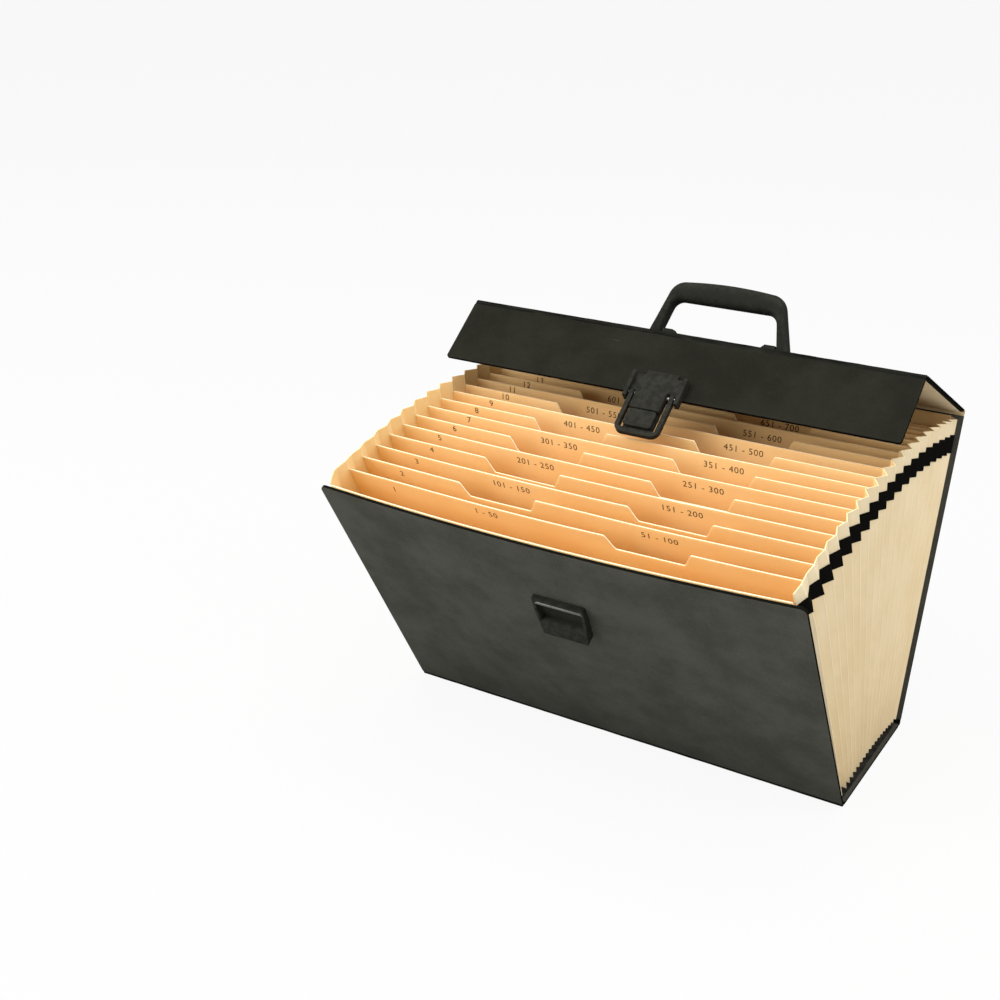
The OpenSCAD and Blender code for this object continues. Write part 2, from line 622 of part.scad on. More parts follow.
module hasp_rivets() color(STEEL_GREY) on_flap_face()
    for (side = [-1, 1]) translate([side * hasp_rivet_x, hasp_rivet_y, hasp_anchor_d])
        hidden_rivet(hasp_anchor_d + board_t + lining_t + backing_t);
module hasp_backing_plate() color(STEEL_GREY) on_flap() difference() {
    translate([0, flap_l - hasp_rivet_y, lining_t])
        round_plate(plate_top_w, plate_h / 2, backing_r, backing_t);
    hasp_rivet_holes();
}
module hasp_pin() color(STEEL_GREY) at_hasp() rod(hasp_pin_r, plate_w - rail_w - 2 * air);
// The frame: two side bars with knuckles round the pin, and a lower bar with rounded corners
low_bar_w = bar_w + low_bar_extra;
window_y = -hasp_l + low_bar_w;
module hasp_frame() color(MOULDED_BLACK) at_hasp() difference() {
    union() {
        for (side = [-1, 1]) translate([side * (hasp_w - bar_w) / 2, 0, 0]) rod(bar_knuckle_r, bar_w);
        translate([0, 0, -bar_knuckle_r]) linear_extrude(bar_t) difference() {
            union() {
                translate([-hasp_w / 2, -hasp_l + hasp_r]) square([hasp_w, hasp_l - hasp_r]);
                translate([-hasp_w / 2 + hasp_r, -hasp_l]) square([hasp_w - 2 * hasp_r, hasp_l]);
                for (side = [-1, 1])
                    translate([side * (hasp_w / 2 - hasp_r), -hasp_l + hasp_r]) circle(hasp_r);
            }
            translate([-hasp_w / 2 + bar_w, window_y]) square([hasp_w - 2 * bar_w, hasp_l]);
        }
    }
    rod(hasp_pin_r + pin_fit, hasp_w + 2 * past);
}
// The tongue: a knuckle with a raised block below it, and a plate that ends on the lower bar
tongue_y = window_y + joint_gap;
button_y = between(-block_l, window_y);
button_l = -block_l - window_y - 2 * button_gap;
button_z = tongue_t + button_travel + air;
module at_tongue() at_hasp() translate([0, 0, -bar_knuckle_r]) children();
module hasp_tongue() color(MOULDED_BLACK) difference() {
    union() {
        at_hasp() rod(block_r, tongue_w);
        at_tongue() translate([-tongue_w / 2, tongue_y, 0]) cube([tongue_w, -tongue_y, tongue_t]);
        at_tongue() translate([-tongue_w / 2, -block_l, 0])
            cube([tongue_w, block_l, bar_knuckle_r + block_r]);
    }
    at_hasp() rod(hasp_pin_r + pin_fit, tongue_w + 2 * past);
    at_tongue() translate([0, button_y, -past]) cylinder(r = stem_r + pin_fit, h = tongue_t + 2 * past);
}
module release_button() color(MOULDED_BLACK) at_tongue() translate([0, button_y, 0]) {
    translate([0, 0, button_z]) round_plate(tongue_w - 2 * button_gap, button_l, button_r, button_t);
    translate([0, 0, -air]) cylinder(r = stem_r, h = button_z + air);
}
module button_spring() color(STEEL_GREY) at_tongue() translate([0, button_y, tongue_t]) difference() {
    cylinder(r = stem_r + spring_gap + spring_wall, h = button_z - tongue_t);
    translate([0, 0, -past]) cylinder(r = stem_r + spring_gap, h = button_z);
}

base_board();
base_lining();
front_bottom_fold();
back_bottom_fold();
pocket_floor();
front_board();
front_leaf();
catch();
catch_keeper();
catch_rivets();
catch_backing_plate();
leaf(1);  // leaf_01
leaf(2);  // leaf_02
leaf(3);  // leaf_03
leaf(4);  // leaf_04
leaf(5);  // leaf_05
leaf(6);  // leaf_06
leaf(7);  // leaf_07
leaf(8);  // leaf_08
leaf(9);  // leaf_09
leaf(10);  // leaf_10
leaf(11);  // leaf_11
leaf(12);  // leaf_12
leaf(13);  // leaf_13
leaf(14);  // leaf_14
leaf(15);  // leaf_15
leaf(16);  // leaf_16
leaf(17);  // leaf_17
leaf(18);  // leaf_18
back_board();
back_leaf();
gusset(1);  // right_gusset
gusset(-1);  // left_gusset
tape(1);  // right_tape
tape(-1);  // left_tape
back_top_fold();
lid_board();
lid_lining();
handle_bracket();
bracket_rivets();
bracket_backing_plate();
handle();
handle_pins();
lid_front_fold();
flap_board();
flap_lining();
hasp_plate();
hasp_rivets();
hasp_backing_plate();
hasp_pin();
hasp_frame();
hasp_tongue();
release_button();
button_spring();
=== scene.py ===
"""Looks of a portable accordion file box that stands open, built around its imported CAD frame.

Every piece is modelled in the frame of the CAD part: the origin is the middle of the base's
underside, +X is to the right and -Y is the front. Sizes in the classes are in millimetres.
"""

from __future__ import annotations

import json
import logging
import math
from collections.abc import Callable, Iterable, Sequence
from dataclasses import dataclass
from enum import Enum

import bmesh
import bpy
from mathutils import Matrix, Vector, noise

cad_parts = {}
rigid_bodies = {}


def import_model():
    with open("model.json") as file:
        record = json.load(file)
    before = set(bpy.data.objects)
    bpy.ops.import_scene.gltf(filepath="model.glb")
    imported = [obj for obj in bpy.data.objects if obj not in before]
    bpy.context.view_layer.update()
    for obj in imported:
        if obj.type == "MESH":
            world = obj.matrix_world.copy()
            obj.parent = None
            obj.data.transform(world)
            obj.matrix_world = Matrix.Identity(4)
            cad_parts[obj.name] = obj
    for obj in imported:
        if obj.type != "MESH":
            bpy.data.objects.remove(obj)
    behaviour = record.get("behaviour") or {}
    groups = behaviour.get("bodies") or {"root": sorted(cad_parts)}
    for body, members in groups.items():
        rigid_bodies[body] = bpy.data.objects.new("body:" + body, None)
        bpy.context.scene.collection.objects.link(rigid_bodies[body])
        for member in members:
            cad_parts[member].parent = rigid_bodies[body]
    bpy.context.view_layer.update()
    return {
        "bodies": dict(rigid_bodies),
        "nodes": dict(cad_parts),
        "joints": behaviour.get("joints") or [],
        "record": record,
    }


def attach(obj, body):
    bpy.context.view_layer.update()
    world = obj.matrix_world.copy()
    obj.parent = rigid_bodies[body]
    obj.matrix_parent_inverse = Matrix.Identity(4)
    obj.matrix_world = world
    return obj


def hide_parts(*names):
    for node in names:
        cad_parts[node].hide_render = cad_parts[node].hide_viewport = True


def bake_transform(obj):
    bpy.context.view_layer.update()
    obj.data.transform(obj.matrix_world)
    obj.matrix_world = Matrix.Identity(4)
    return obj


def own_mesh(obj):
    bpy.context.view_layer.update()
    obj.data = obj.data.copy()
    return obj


LOG = logging.getLogger("file_box")
MM = 0.001
SHARP_EDGE = math.radians(38)
SHARP_PART_EDGE = math.radians(30)
FULL_CORNER = math.radians(24)
# Faces nearly square to a board's face count as its narrow sides, which get painted shade.
SIDE_LIMIT = 0.3
WELD = 2e-6
LOOK = "_look"  # Keeps the names of these materials apart from those of the CAD frame

Point2 = tuple[float, float]
Colour = tuple[float, float, float]
Swell = Callable[[float, float], float]


def srgb(red: int, green: int, blue: int) -> Colour:
    """Turns a colour of 0 to 255 a channel into linear light.

    Args:
        red: Red channel.
        green: Green channel.
        blue: Blue channel.

    Returns:
        The three linear channels.
    """

    def linear(channel: int) -> float:
        """Linear value of one channel."""
        share = channel / 255
        return share / 12.92 if share <= 0.04045 else ((share + 0.055) / 1.055) ** 2.4

    return linear(red), linear(green), linear(blue)


def mixed(first: Colour, second: Colour, share: float) -> Colour:
    """Colour between two colours."""
    return tuple(a + (b - a) * share for a, b in zip(first, second))


def between(low: float, high: float, share: float) -> float:
    """Number at a share of the way from low to high."""
    return low + (high - low) * share


# ------------------------------------------------------------------ shader wiring


class Wire:
    """One output socket, on which Python's operators add Math nodes."""

    def __init__(self, paint: "Paint", socket: bpy.types.NodeSocket) -> None:
        """Keeps the socket and the node tree it belongs to."""
        self.paint = paint
        self.socket = socket

    def _math(self, operation: str, first: "Value", second: "Value" = 0.0) -> "Wire":
        """Adds one Math node."""
        settings = {"operation": operation}
        return self.paint.node("ShaderNodeMath", settings, {0: first, 1: second})

    def __add__(self, other: "Value") -> "Wire":
        """Sum."""
        return self._math("ADD", self, other)

    def __radd__(self, other: "Value") -> "Wire":
        """Sum with a number in front."""
        return self._math("ADD", other, self)

    def __sub__(self, other: "Value") -> "Wire":
        """Difference."""
        return self._math("SUBTRACT", self, other)

    def __rsub__(self, other: "Value") -> "Wire":
        """Difference from a number in front."""
        return self._math("SUBTRACT", other, self)

    def __mul__(self, other: "Value") -> "Wire":
        """Product."""
        return self._math("MULTIPLY", self, other)

    def __rmul__(self, other: "Value") -> "Wire":
        """Product with a number in front."""
        return self._math("MULTIPLY", other, self)

    def sine(self) -> "Wire":
        """Sine of the value, in radians."""
        return self._math("SINE", self)

    def larger(self, other: "Value") -> "Wire":
        """The larger of this value and another."""
        return self._math("MAXIMUM", self, other)

    def step(self, low: float, high: float) -> "Wire":
        """Smooth step from 0 at low to 1 at high.

        Args:
            low: Value at which the step starts.
            high: Value at which it ends.

        Returns:
            The step, from 0 to 1.
        """
        settings = {"interpolation_type": "SMOOTHSTEP"}
        values = {"Value": self, "From Min": low, "From Max": high}
        return self.paint.node("ShaderNodeMapRange", settings, values)


Value = Wire | float


class Paint:
    """Node tree of one material, with a single glossy surface at its end."""

    def __init__(self, name: str) -> None:
        """Makes the material and clears its nodes.

        Args:
            name: Name of the material.
        """
        self.material = bpy.data.materials.new(name + LOOK)
        self.material.use_nodes = True
        self.tree = self.material.node_tree
        self.tree.nodes.clear()

    def node(
        self,
        kind: str,
        settings: dict[str, object] | None = None,
        values: dict[str | int, object] | None = None,
        output: str | int = 0,
    ) -> Wire:
        """Adds one node.

        Args:
            kind: Type of the node.
            settings: The node's own properties, set first.
            values: Values or links for its input sockets, by name or place.
            output: The output that is returned.

        Returns:
            The wire of that output.
        """
        made = self.tree.nodes.new(kind)
        for key, setting in (settings or {}).items():
            setattr(made, key, setting)
        for key, value in (values or {}).items():
            self._plug(made.inputs[key], value)
        return Wire(self, made.outputs[output])

    def _plug(self, socket: bpy.types.NodeSocket, value: object) -> None:
        """Links or sets one input socket.

        Args:
            socket: The input.
            value: A wire, a number, or a colour or vector.
        """
        if isinstance(value, Wire):
            self.tree.links.new(value.socket, socket)
        elif isinstance(value, tuple) and socket.type == "RGBA":
            socket.default_value = (*value, 1.0)
        else:
            socket.default_value = value

    def place(self) -> Wire:
        """Place on the piece in the shared frame, in metres."""
        return self.node("ShaderNodeTexCoord", output="Object")

    def sheet_place(self) -> Wire:
        """Place on a flat or folded sheet: across, up the sheet and 0, in metres."""
        return self.node("ShaderNodeAttribute", {"attribute_name": "sheet"}, output="Vector")

    def share(self, name: str) -> Wire:
        """A number from 0 to 1 that a piece carries on its vertices."""
        return self.node("ShaderNodeAttribute", {"attribute_name": name}, output="Fac")

    def noise(self, place: Wire, scale: float, detail: float = 3.0, rough: float = 0.5) -> Wire:
        """Cloudy noise."""
        values = {"Vector": place, "Scale": scale, "Detail": detail, "Roughness": rough}
        return self.node("ShaderNodeTexNoise", None, values)

    def cells(self, place: Wire, scale: float, feature: str = "DISTANCE_TO_EDGE") -> Wire:
        """Cell pattern."""
        values = {"Vector": place, "Scale": scale}
        return self.node("ShaderNodeTexVoronoi", {"feature": feature}, values)

    def streaks(self, place: Wire, cells: Colour, detail: float = 3.0, rough: float = 0.5) -> Wire:
        """Cloudy noise with its own number of cells for each metre along each axis."""
        scaled = self.node("ShaderNodeVectorMath", {"operation": "MULTIPLY"}, {0: place, 1: cells})
        return self.noise(scaled, 1.0, detail, rough)

    def axis(self, place: Wire, name: str) -> Wire:
        """One coordinate of a place, "X", "Y" or "Z"."""
        return self.node("ShaderNodeSeparateXYZ", None, {0: place}, name)

    def colour(self, share: Value, first: Colour | Wire, second: Colour | Wire) -> Wire:
        """Mixes two colours."""
        settings = {"data_type": "RGBA", "clamp_factor": True}
        return self.node("ShaderNodeMix", settings, {0: share, 6: first, 7: second}, 2)

    def bump(self, height: Value, distance: float) -> Wire:
        """Bump normal of a height from 0 to 1, where 1 stands for a distance in metres."""
        values = {"Height": height, "Distance": distance, "Strength": 1.0}
        return self.node("ShaderNodeBump", None, values)

    def surface(
        self,
        tone: Wire,
        rough: Wire,
        height: Wire,
        relief: float,
        specular: float = 0.5,
        metallic: float = 0.0,
    ) -> bpy.types.Material:
        """Ends the tree in a surface.

        Args:
            tone: Its colour.
            rough: Its roughness.
            height: Its relief, from 0 to 1.
            relief: What 1 of the relief stands for, in metres.
            specular: Its reflection level.
            metallic: 1 for metal.

        Returns:
            The material.
        """
        values = {
            "Base Color": tone, "Roughness": rough, "Normal": self.bump(height, relief),
            "Specular IOR Level": specular, "Metallic": metallic,
        }
        self.node_end(self.node("ShaderNodeBsdfPrincipled", None, values))
        return self.material

    def node_end(self, shader: Wire) -> None:
        """Links a shader to the material's output."""
        end = self.tree.nodes.new("ShaderNodeOutputMaterial")
        self.tree.links.new(shader.socket, end.inputs["Surface"])


# ------------------------------------------------------------------ finishes


@dataclass(frozen=True)
class Leatherette:
    """Embossed black paper cloth that covers the boards, paler on its rounded edges as rubbed wear
    and as a painted highlight, near black on its narrow sides as painted shade.
    """

    name: str = "covered_board"
    face: Colour = srgb(88, 88, 82)
    deep: Colour = srgb(66, 66, 60)
    # Paler tone of the rounded edges: rubbed wear and a painted highlight.
    worn: Colour = srgb(112, 110, 102)
    # Painted shade: near-black colour of the boards' narrow sides.
    side: Colour = srgb(12, 11, 8)
    grain: float = 900.0
    relief: float = 0.00016
    rough: float = 0.56

    def material(self) -> bpy.types.Material:
        """Builds the material.

        Returns:
            The material.
        """
        paint = Paint(self.name)
        place = paint.place()
        warp = paint.noise(place, self.grain * 0.35, 2.0)
        pebble = paint.cells(place, self.grain).step(0.0, 0.42)
        fine = paint.noise(place, self.grain * 2.6, 2.0)
        clouds = paint.noise(place, 24.0, 4.0, 0.6).step(0.3, 0.72)
        scuffs = paint.streaks(place, (30.0, 260.0, 260.0), 5.0, 0.65)
        edge = paint.share("rim")
        side = paint.share("side")
        # Rounded edges turn paler, partly as rubbed wear and partly as a painted highlight; the
        # narrow sides are left out.
        rim = edge.step(0.1, 0.45) * (1.0 - side) * paint.noise(place, 160.0, 3.0).step(0.3, 0.6)
        scuffed = scuffs.step(0.66, 0.8) * 0.22
        tone = paint.colour(pebble * 0.45 + clouds * 0.55, self.deep, self.face)
        tone = paint.colour((rim * 0.7).larger(scuffed), tone, self.worn)
        # Painted shade: the narrow sides are coloured almost black.
        tone = paint.colour(side * 0.95, tone, self.side)
        height = pebble * 0.6 + fine * 0.25 + warp * 0.35
        rough = self.rough + fine * 0.14 - pebble * 0.08 - rim * 0.08
        return paint.surface(tone, rough, height, self.relief, 0.0)


@dataclass(frozen=True)
class FoldCloth:
    """The same covering where it crosses a fold, creased along the fold."""

    name: str = "fold_cloth"
    face: Colour = srgb(34, 34, 30)
    deep: Colour = srgb(16, 16, 14)
    worn: Colour = srgb(70, 68, 62)
    lined: Colour = srgb(250, 226, 178)

    def material(self) -> bpy.types.Material:
        """Builds the material.

        Returns:
            The material.
        """
        paint = Paint(self.name)
        place = paint.place()
        pebble = paint.cells(place, 900.0).step(0.0, 0.42)
        creases = paint.streaks(place, (34.0, 620.0, 620.0), 5.0, 0.6)
        rubbed = paint.streaks(place, (60.0, 420.0, 420.0), 3.0).step(0.58, 0.8)
        tone = paint.colour(creases.step(0.3, 0.62), self.deep, self.face)
        tone = paint.colour(rubbed * 0.35, tone, self.worn)
        tone = paint.colour(paint.share("inner"), tone, self.lined)
        height = creases.step(0.25, 0.7) * 0.8 + pebble * 0.2
        return paint.surface(tone, 0.62 - rubbed * 0.1, height, 0.0003, 0.0)


@dataclass(frozen=True)
class Paper:
    """Uncoated paper or card with fibres, faint clouds, paler trimmed edges that are partly a
    painted highlight, outer folds paler as creased paper and as a painted highlight, and painted
    shade in inner folds.
    """

    name: str
    face: Colour
    deep: Colour
    edge: Colour
    fibres: float = 0.5
    streaks: float = 0.0
    # Buff tone given to the face of the pleats inside the case.
    lined: Colour = srgb(255, 224, 162)

    def material(self) -> bpy.types.Material:
        """Builds the material.

        Returns:
            The material.
        """
        paint = Paint(self.name)
        place = paint.place()
        sheet = paint.sheet_place()
        clouds = paint.noise(place, 22.0, 4.0, 0.6).step(0.3, 0.7)
        fibre = paint.streaks(place, (520.0, 1700.0, 900.0), 4.0, 0.7)
        specks = paint.cells(place, 420.0, "F1").step(0.16, 0.05)
        streak = paint.streaks(sheet, (900.0, 26.0, 1.0), 3.0, 0.6)
        # Trimmed edges turn paler, partly as the paper's own edge and partly as a painted
        # highlight.
        cut_edge_and_highlight = paint.share("rim").step(0.25, 0.8)
        crease = paint.share("fold")
        # Outer folds turn paler, partly as creased paper and partly as a painted highlight; inner
        # folds get painted shade.
        fold, valley_shade = crease.step(0.35, 1.0), (0.0 - crease).step(0.2, 1.0)
        share = clouds * 0.45 + fibre * self.fibres * 0.6 + streak * self.streaks
        tone = paint.colour(share, self.deep, self.face)
        tone = paint.colour(specks * 0.22, tone, mixed(self.deep, (0.16, 0.1, 0.05), 0.3))
        # Painted shade in the inner folds.
        tone = paint.colour(valley_shade * 0.5, tone, mixed(self.deep, (0.3, 0.18, 0.08), 0.4))
        # The face inside the case takes the buff tone.
        tone = paint.colour(paint.share("inner"), tone, self.lined)
        tone = paint.colour((cut_edge_and_highlight * 0.85).larger(fold * 0.55), tone, self.edge)
        height = fibre * 0.7 + clouds * 0.3 + streak * self.streaks
        return paint.surface(tone, 0.82 + fibre * 0.12, height, 0.00009, 0.2)


@dataclass(frozen=True)
class TapeCloth:
    """Black woven tape glued over the pleats, worn grey along its folds."""

    name: str = "tape_black"
    face: Colour = srgb(24, 23, 21)
    deep: Colour = srgb(10, 10, 9)
    worn: Colour = srgb(52, 50, 46)
    thread: float = 0.0011

    def material(self) -> bpy.types.Material:
        """Builds the material.

        Returns:
            The material.
        """
        paint = Paint(self.name)
        sheet = paint.sheet_place()
        turn = math.tau / self.thread
        across = (paint.axis(sheet, "X") * turn).sine()
        along = (paint.axis(sheet, "Y") * turn).sine()
        weave = (across * along) * 0.5 + 0.5
        fuzz = paint.noise(paint.place(), 700.0, 3.0)
        fold = paint.share("fold").step(0.55, 1.0)
        tone = paint.colour(weave * 0.6 + fuzz * 0.4, self.deep, self.face)
        tone = paint.colour(fold * fuzz.step(0.4, 0.7) * 0.5, tone, self.worn)
        height = weave * 0.7 + fuzz * 0.3
        return paint.surface(tone, 0.72 + fuzz * 0.15, height, 0.00015, 0.0)


@dataclass(frozen=True)
class MouldedPlastic:
    """Black moulded plastic with a fine spark-eroded texture and rubbed corners."""

    name: str = "moulded_black"
    face: Colour = srgb(42, 42, 37)
    deep: Colour = srgb(32, 32, 28)
    worn: Colour = srgb(84, 83, 77)
    rough: float = 0.58

    def material(self) -> bpy.types.Material:
        """Builds the material.

        Returns:
            The material.
        """
        paint = Paint(self.name)
        place = paint.place()
        spark = paint.noise(place, 1900.0, 3.0, 0.6)
        clouds = paint.noise(place, 45.0, 3.0).step(0.3, 0.7)
        hair = paint.streaks(place, (90.0, 1500.0, 500.0), 4.0, 0.6)
        rubbed = paint.share("rim").step(0.2, 0.9) * paint.noise(place, 240.0, 3.0).step(0.36, 0.6)
        tone = paint.colour(clouds * 0.5 + spark * 0.5, self.deep, self.face)
        tone = paint.colour((rubbed * 0.16).larger(hair.step(0.7, 0.82) * 0.12), tone, self.worn)
        rough = self.rough + spark * 0.18 + clouds * 0.06 - rubbed * 0.1
        return paint.surface(tone, rough, spark * 0.8 + hair * 0.2, 0.00006, 0.04)


@dataclass(frozen=True)
class Steel:
    """Nickel-plated steel of the rivets, pins and spring, lightly brushed and tarnished."""

    name: str = "steel"
    face: Colour = srgb(176, 176, 172)
    tarnish: Colour = srgb(112, 106, 96)

    def material(self) -> bpy.types.Material:
        """Builds the material.

        Returns:
            The material.
        """
        paint = Paint(self.name)
        place = paint.place()
        brushed = paint.streaks(place, (240.0, 2600.0, 2600.0), 3.0)
        spots = paint.noise(place, 420.0, 4.0, 0.65).step(0.52, 0.75)
        tone = paint.colour(spots * 0.6, self.face, self.tarnish)
        rough = 0.26 + brushed * 0.2 + spots * 0.2
        return paint.surface(tone, rough, brushed, 0.00003, metallic=1.0)


@dataclass(frozen=True)
class PrintInk:
    """Dull black print that soaks into the paper a little unevenly."""

    name: str = "print_ink"
    face: Colour = srgb(64, 42, 26)
    thin: Colour = srgb(112, 78, 48)

    def material(self) -> bpy.types.Material:
        """Builds the material.

        Returns:
            The material.
        """
        paint = Paint(self.name)
        place = paint.place()
        soak = paint.noise(place, 1500.0, 4.0, 0.7)
        tone = paint.colour(soak.step(0.45, 0.75) * 0.6, self.face, self.thin)
        return paint.surface(tone, 0.7 + soak * 0.2, soak, 0.00004, 0.2)


class Finish(Enum):
    """The finishes of the object, each made once."""

    # Two copies of one covering: this lighter one for the base, front and back boards, its colour
    # partly a painted reflection, and below it a darker one for the lid and flap that is painted
    # shade.
    BOARD = Leatherette()
    LID_BOARD = Leatherette(
        name="covered_lid_shaded", face=srgb(44, 44, 38), deep=srgb(31, 31, 26), worn=srgb(92, 90, 82)
    )
    FOLD = FoldCloth()
    LINING = Leatherette(
        name="lining_black", face=srgb(40, 40, 38), deep=srgb(28, 28, 26), worn=srgb(60, 58, 54),
        grain=1500.0, relief=0.00008, rough=0.7,
    )
    LEAF = Paper(
        name="leaf_buff", face=srgb(255, 222, 163), deep=srgb(254, 209, 141),
        edge=srgb(255, 242, 216),
    )
    PLEAT = Paper(
        name="pleat_cream", face=srgb(240, 224, 190), deep=srgb(226, 204, 163),
        edge=srgb(248, 238, 214), streaks=0.25,
    )
    TAPE = TapeCloth()
    PLASTIC = MouldedPlastic()
    STEEL = Steel()
    KEEPER = Steel(name="keeper_steel", face=srgb(104, 104, 100), tarnish=srgb(58, 55, 50))
    INK = PrintInk()

    def material(self) -> bpy.types.Material:
        """The finish's material, built at its first use."""
        return bpy.data.materials.get(self.value.name + LOOK) or self.value.material()


# ------------------------------------------------------------------ frames and meshes


@dataclass(frozen=True)
class SideFrame:
    """A board's own frame: x along the fold, s away from it along the board, h off its face."""

    y: float
    z: float
    turn: float

    def spot(self, s: float, h: float) -> Point2:
        """Place in the side plane.

        Args:
            s: Distance along the board.
            h: Height off it.

        Returns:
            Y and Z.
        """
        angle = math.radians(self.turn)
        return (
            self.y + s * math.cos(angle) - h * math.sin(angle),
            self.z + s * math.sin(angle) + h * math.cos(angle),
        )

    def point(self, x: float, s: float, h: float) -> Vector:
        """Point in space, in millimetres."""
        return Vector((x, *self.spot(s, h)))

    def normal(self) -> Vector:
        """Direction of h."""
        angle = math.radians(self.turn)
        return Vector((0.0, -math.sin(angle), math.cos(angle)))

    def shifted(self, s: float, h: float, turn: float = 0.0) -> "SideFrame":
        """The frame moved along itself and turned."""
        return SideFrame(*self.spot(s, h), self.turn + turn)


class Shell:
    """Points and faces of one piece while it is built, in millimetres."""

    def __init__(self) -> None:
        """Starts empty."""
        self.points: list[Vector] = []
        self.sheet: list[Point2] = []
        self.fold: list[float] = []
        self.inner: list[float] = []
        self.faces: list[tuple[int, ...]] = []

    def add(
        self, point: Vector, sheet: Point2 = (0.0, 0.0), fold: float = 0.0, inner: float = 0.0
    ) -> int:
        """Adds one point.

        Args:
            point: The point.
            sheet: Its place on the flat sheet.
            fold: 1 on an outer fold, -1 on an inner one, 0 away from them.
            inner: 1 on the face inside the case.

        Returns:
            Its number.
        """
        self.points.append(point)
        self.sheet.append(sheet)
        self.fold.append(fold)
        self.inner.append(inner)
        return len(self.points) - 1

    def skin(self, rows: Sequence[Sequence[int]], flip: bool = False) -> None:
        """Joins rows of points with four-sided faces.

        Args:
            rows: Rows of point numbers, all of one length.
            flip: Turns the faces round.
        """
        for low, high in zip(rows, rows[1:]):
            for i in range(len(low) - 1):
                face = (low[i], low[i + 1], high[i + 1], high[i])
                self.faces.append(face[::-1] if flip else face)

    def block(self, lower: Sequence[Sequence[int]], upper: Sequence[Sequence[int]]) -> None:
        """Closes two equal sheets of points into a thin solid.

        Args:
            lower: Rows of the lower sheet.
            upper: Rows of the upper sheet.
        """
        self.skin(lower, flip=True)
        self.skin(upper)
        self.skin([lower[0], upper[0]])
        self.skin([upper[-1], lower[-1]])
        self.skin([[row[0] for row in upper], [row[0] for row in lower]])
        self.skin([[row[-1] for row in lower], [row[-1] for row in upper]])

    def tube(self, rings: Sequence[Sequence[int]], capped: bool = True) -> None:
        """Joins closed rings of points, one after another.

        Args:
            rings: Rings of point numbers.
            capped: Closes both ends.
        """
        self.skin([[*ring, ring[0]] for ring in rings])
        if capped:
            self.faces.append(tuple(rings[0])[::-1])
            self.faces.append(tuple(rings[-1]))

    def piece(self, name: str, finish: Finish, smooth_angle: float = 32.0) -> bpy.types.Object:
        """Makes the Blender object.

        Args:
            name: Name of the object.
            finish: Its finish.
            smooth_angle: Edges sharper than this many degrees stay sharp.

        Returns:
            The object.
        """
        mesh = bpy.data.meshes.new(name)
        mesh.from_pydata([p * MM for p in self.points], [], self.faces)
        sheet = mesh.attributes.new("sheet", "FLOAT_VECTOR", "POINT")
        sheet.data.foreach_set("vector", [v * MM for a, b in self.sheet for v in (a, b, 0.0)])
        for key, values in (("fold", self.fold), ("inner", self.inner)):
            mesh.attributes.new(key, "FLOAT", "POINT").data.foreach_set("value", values)
        made = bpy.data.objects.new(name, mesh)
        bpy.context.scene.collection.objects.link(made)
        return tidied(made, finish, smooth_angle)


def tidied(piece: bpy.types.Object, finish: Finish, smooth_angle: float) -> bpy.types.Object:
    """Gives a piece outward faces, smooth shading and its finish.

    Args:
        piece: The piece.
        finish: Its finish.
        smooth_angle: Edges sharper than this many degrees stay sharp.

    Returns:
        The piece.
    """
    mesh = piece.data
    work = bmesh.new()
    work.from_mesh(mesh)
    bmesh.ops.recalc_face_normals(work, faces=work.faces)
    work.to_mesh(mesh)
    work.free()
    mesh.shade_smooth()
    mesh.set_sharp_from_angle(angle=math.radians(smooth_angle))
    mesh.materials.clear()
    mesh.materials.append(finish.material())
    return piece


def rounded(piece: bpy.types.Object, width: float, segments: int = 3) -> bpy.types.Object:
    """Rounds the sharp edges of a piece.

    Args:
        piece: The piece.
        width: Width of the rounding.
        segments: Faces across it.

    Returns:
        The piece.
    """
    bevel = piece.modifiers.new("round", "BEVEL")
    bevel.width = width * MM
    bevel.segments = segments
    bevel.limit_method = "ANGLE"
    bevel.angle_limit = SHARP_EDGE
    bevel.harden_normals = False
    view = bpy.context.evaluated_depsgraph_get()
    mesh = bpy.data.meshes.new_from_object(piece.evaluated_get(view))
    piece.modifiers.clear()
    piece.data = mesh
    return piece


def mark_rim(piece: bpy.types.Object, face: Vector) -> None:
    """Marks a sheet's rim, for wear, trimmed edges and painted highlights, and the faces of its
    narrow sides, which get painted shade.

    Args:
        piece: The piece.
        face: Direction of its face.
    """
    mesh = piece.data
    rim = mesh.attributes.get("rim") or mesh.attributes.new("rim", "FLOAT", "POINT")
    rim.data.foreach_set("value", [1 - abs(v.normal.dot(face)) for v in mesh.vertices])
    side = mesh.attributes.get("side") or mesh.attributes.new("side", "FLOAT", "FACE")
    narrow = [float(abs(p.normal.dot(face)) < SIDE_LIMIT) for p in mesh.polygons]
    side.data.foreach_set("value", narrow)


def mark_corners(piece: bpy.types.Object) -> None:
    """Marks the vertices on rounded edges, which rub paler than the flats between them.

    Args:
        piece: The piece.
    """
    mesh = piece.data
    work = bmesh.new()
    work.from_mesh(mesh)
    marks = []
    for vert in work.verts:
        bends = [e.calc_face_angle(0.0) for e in vert.link_edges if len(e.link_faces) == 2]
        convex = [e.is_convex for e in vert.link_edges if len(e.link_faces) == 2]
        turned = max((b for b, c in zip(bends, convex) if c), default=0.0)
        marks.append(min(1.0, turned / FULL_CORNER))
    work.free()
    rim = mesh.attributes.get("rim") or mesh.attributes.new("rim", "FLOAT", "POINT")
    rim.data.foreach_set("value", marks)


def seated(piece: bpy.types.Object, body: str, node: str) -> bpy.types.Object:
    """Seats a piece on a body in place of a CAD node.

    Args:
        piece: The piece.
        body: The body it rides on.
        node: The CAD node it replaces.

    Returns:
        The piece.
    """
    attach(piece, body)
    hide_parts(node)
    return piece


def soft_noise(*values: float) -> float:
    """Smooth repeatable noise from -1 to 1."""
    return noise.noise(Vector(values[:3]))


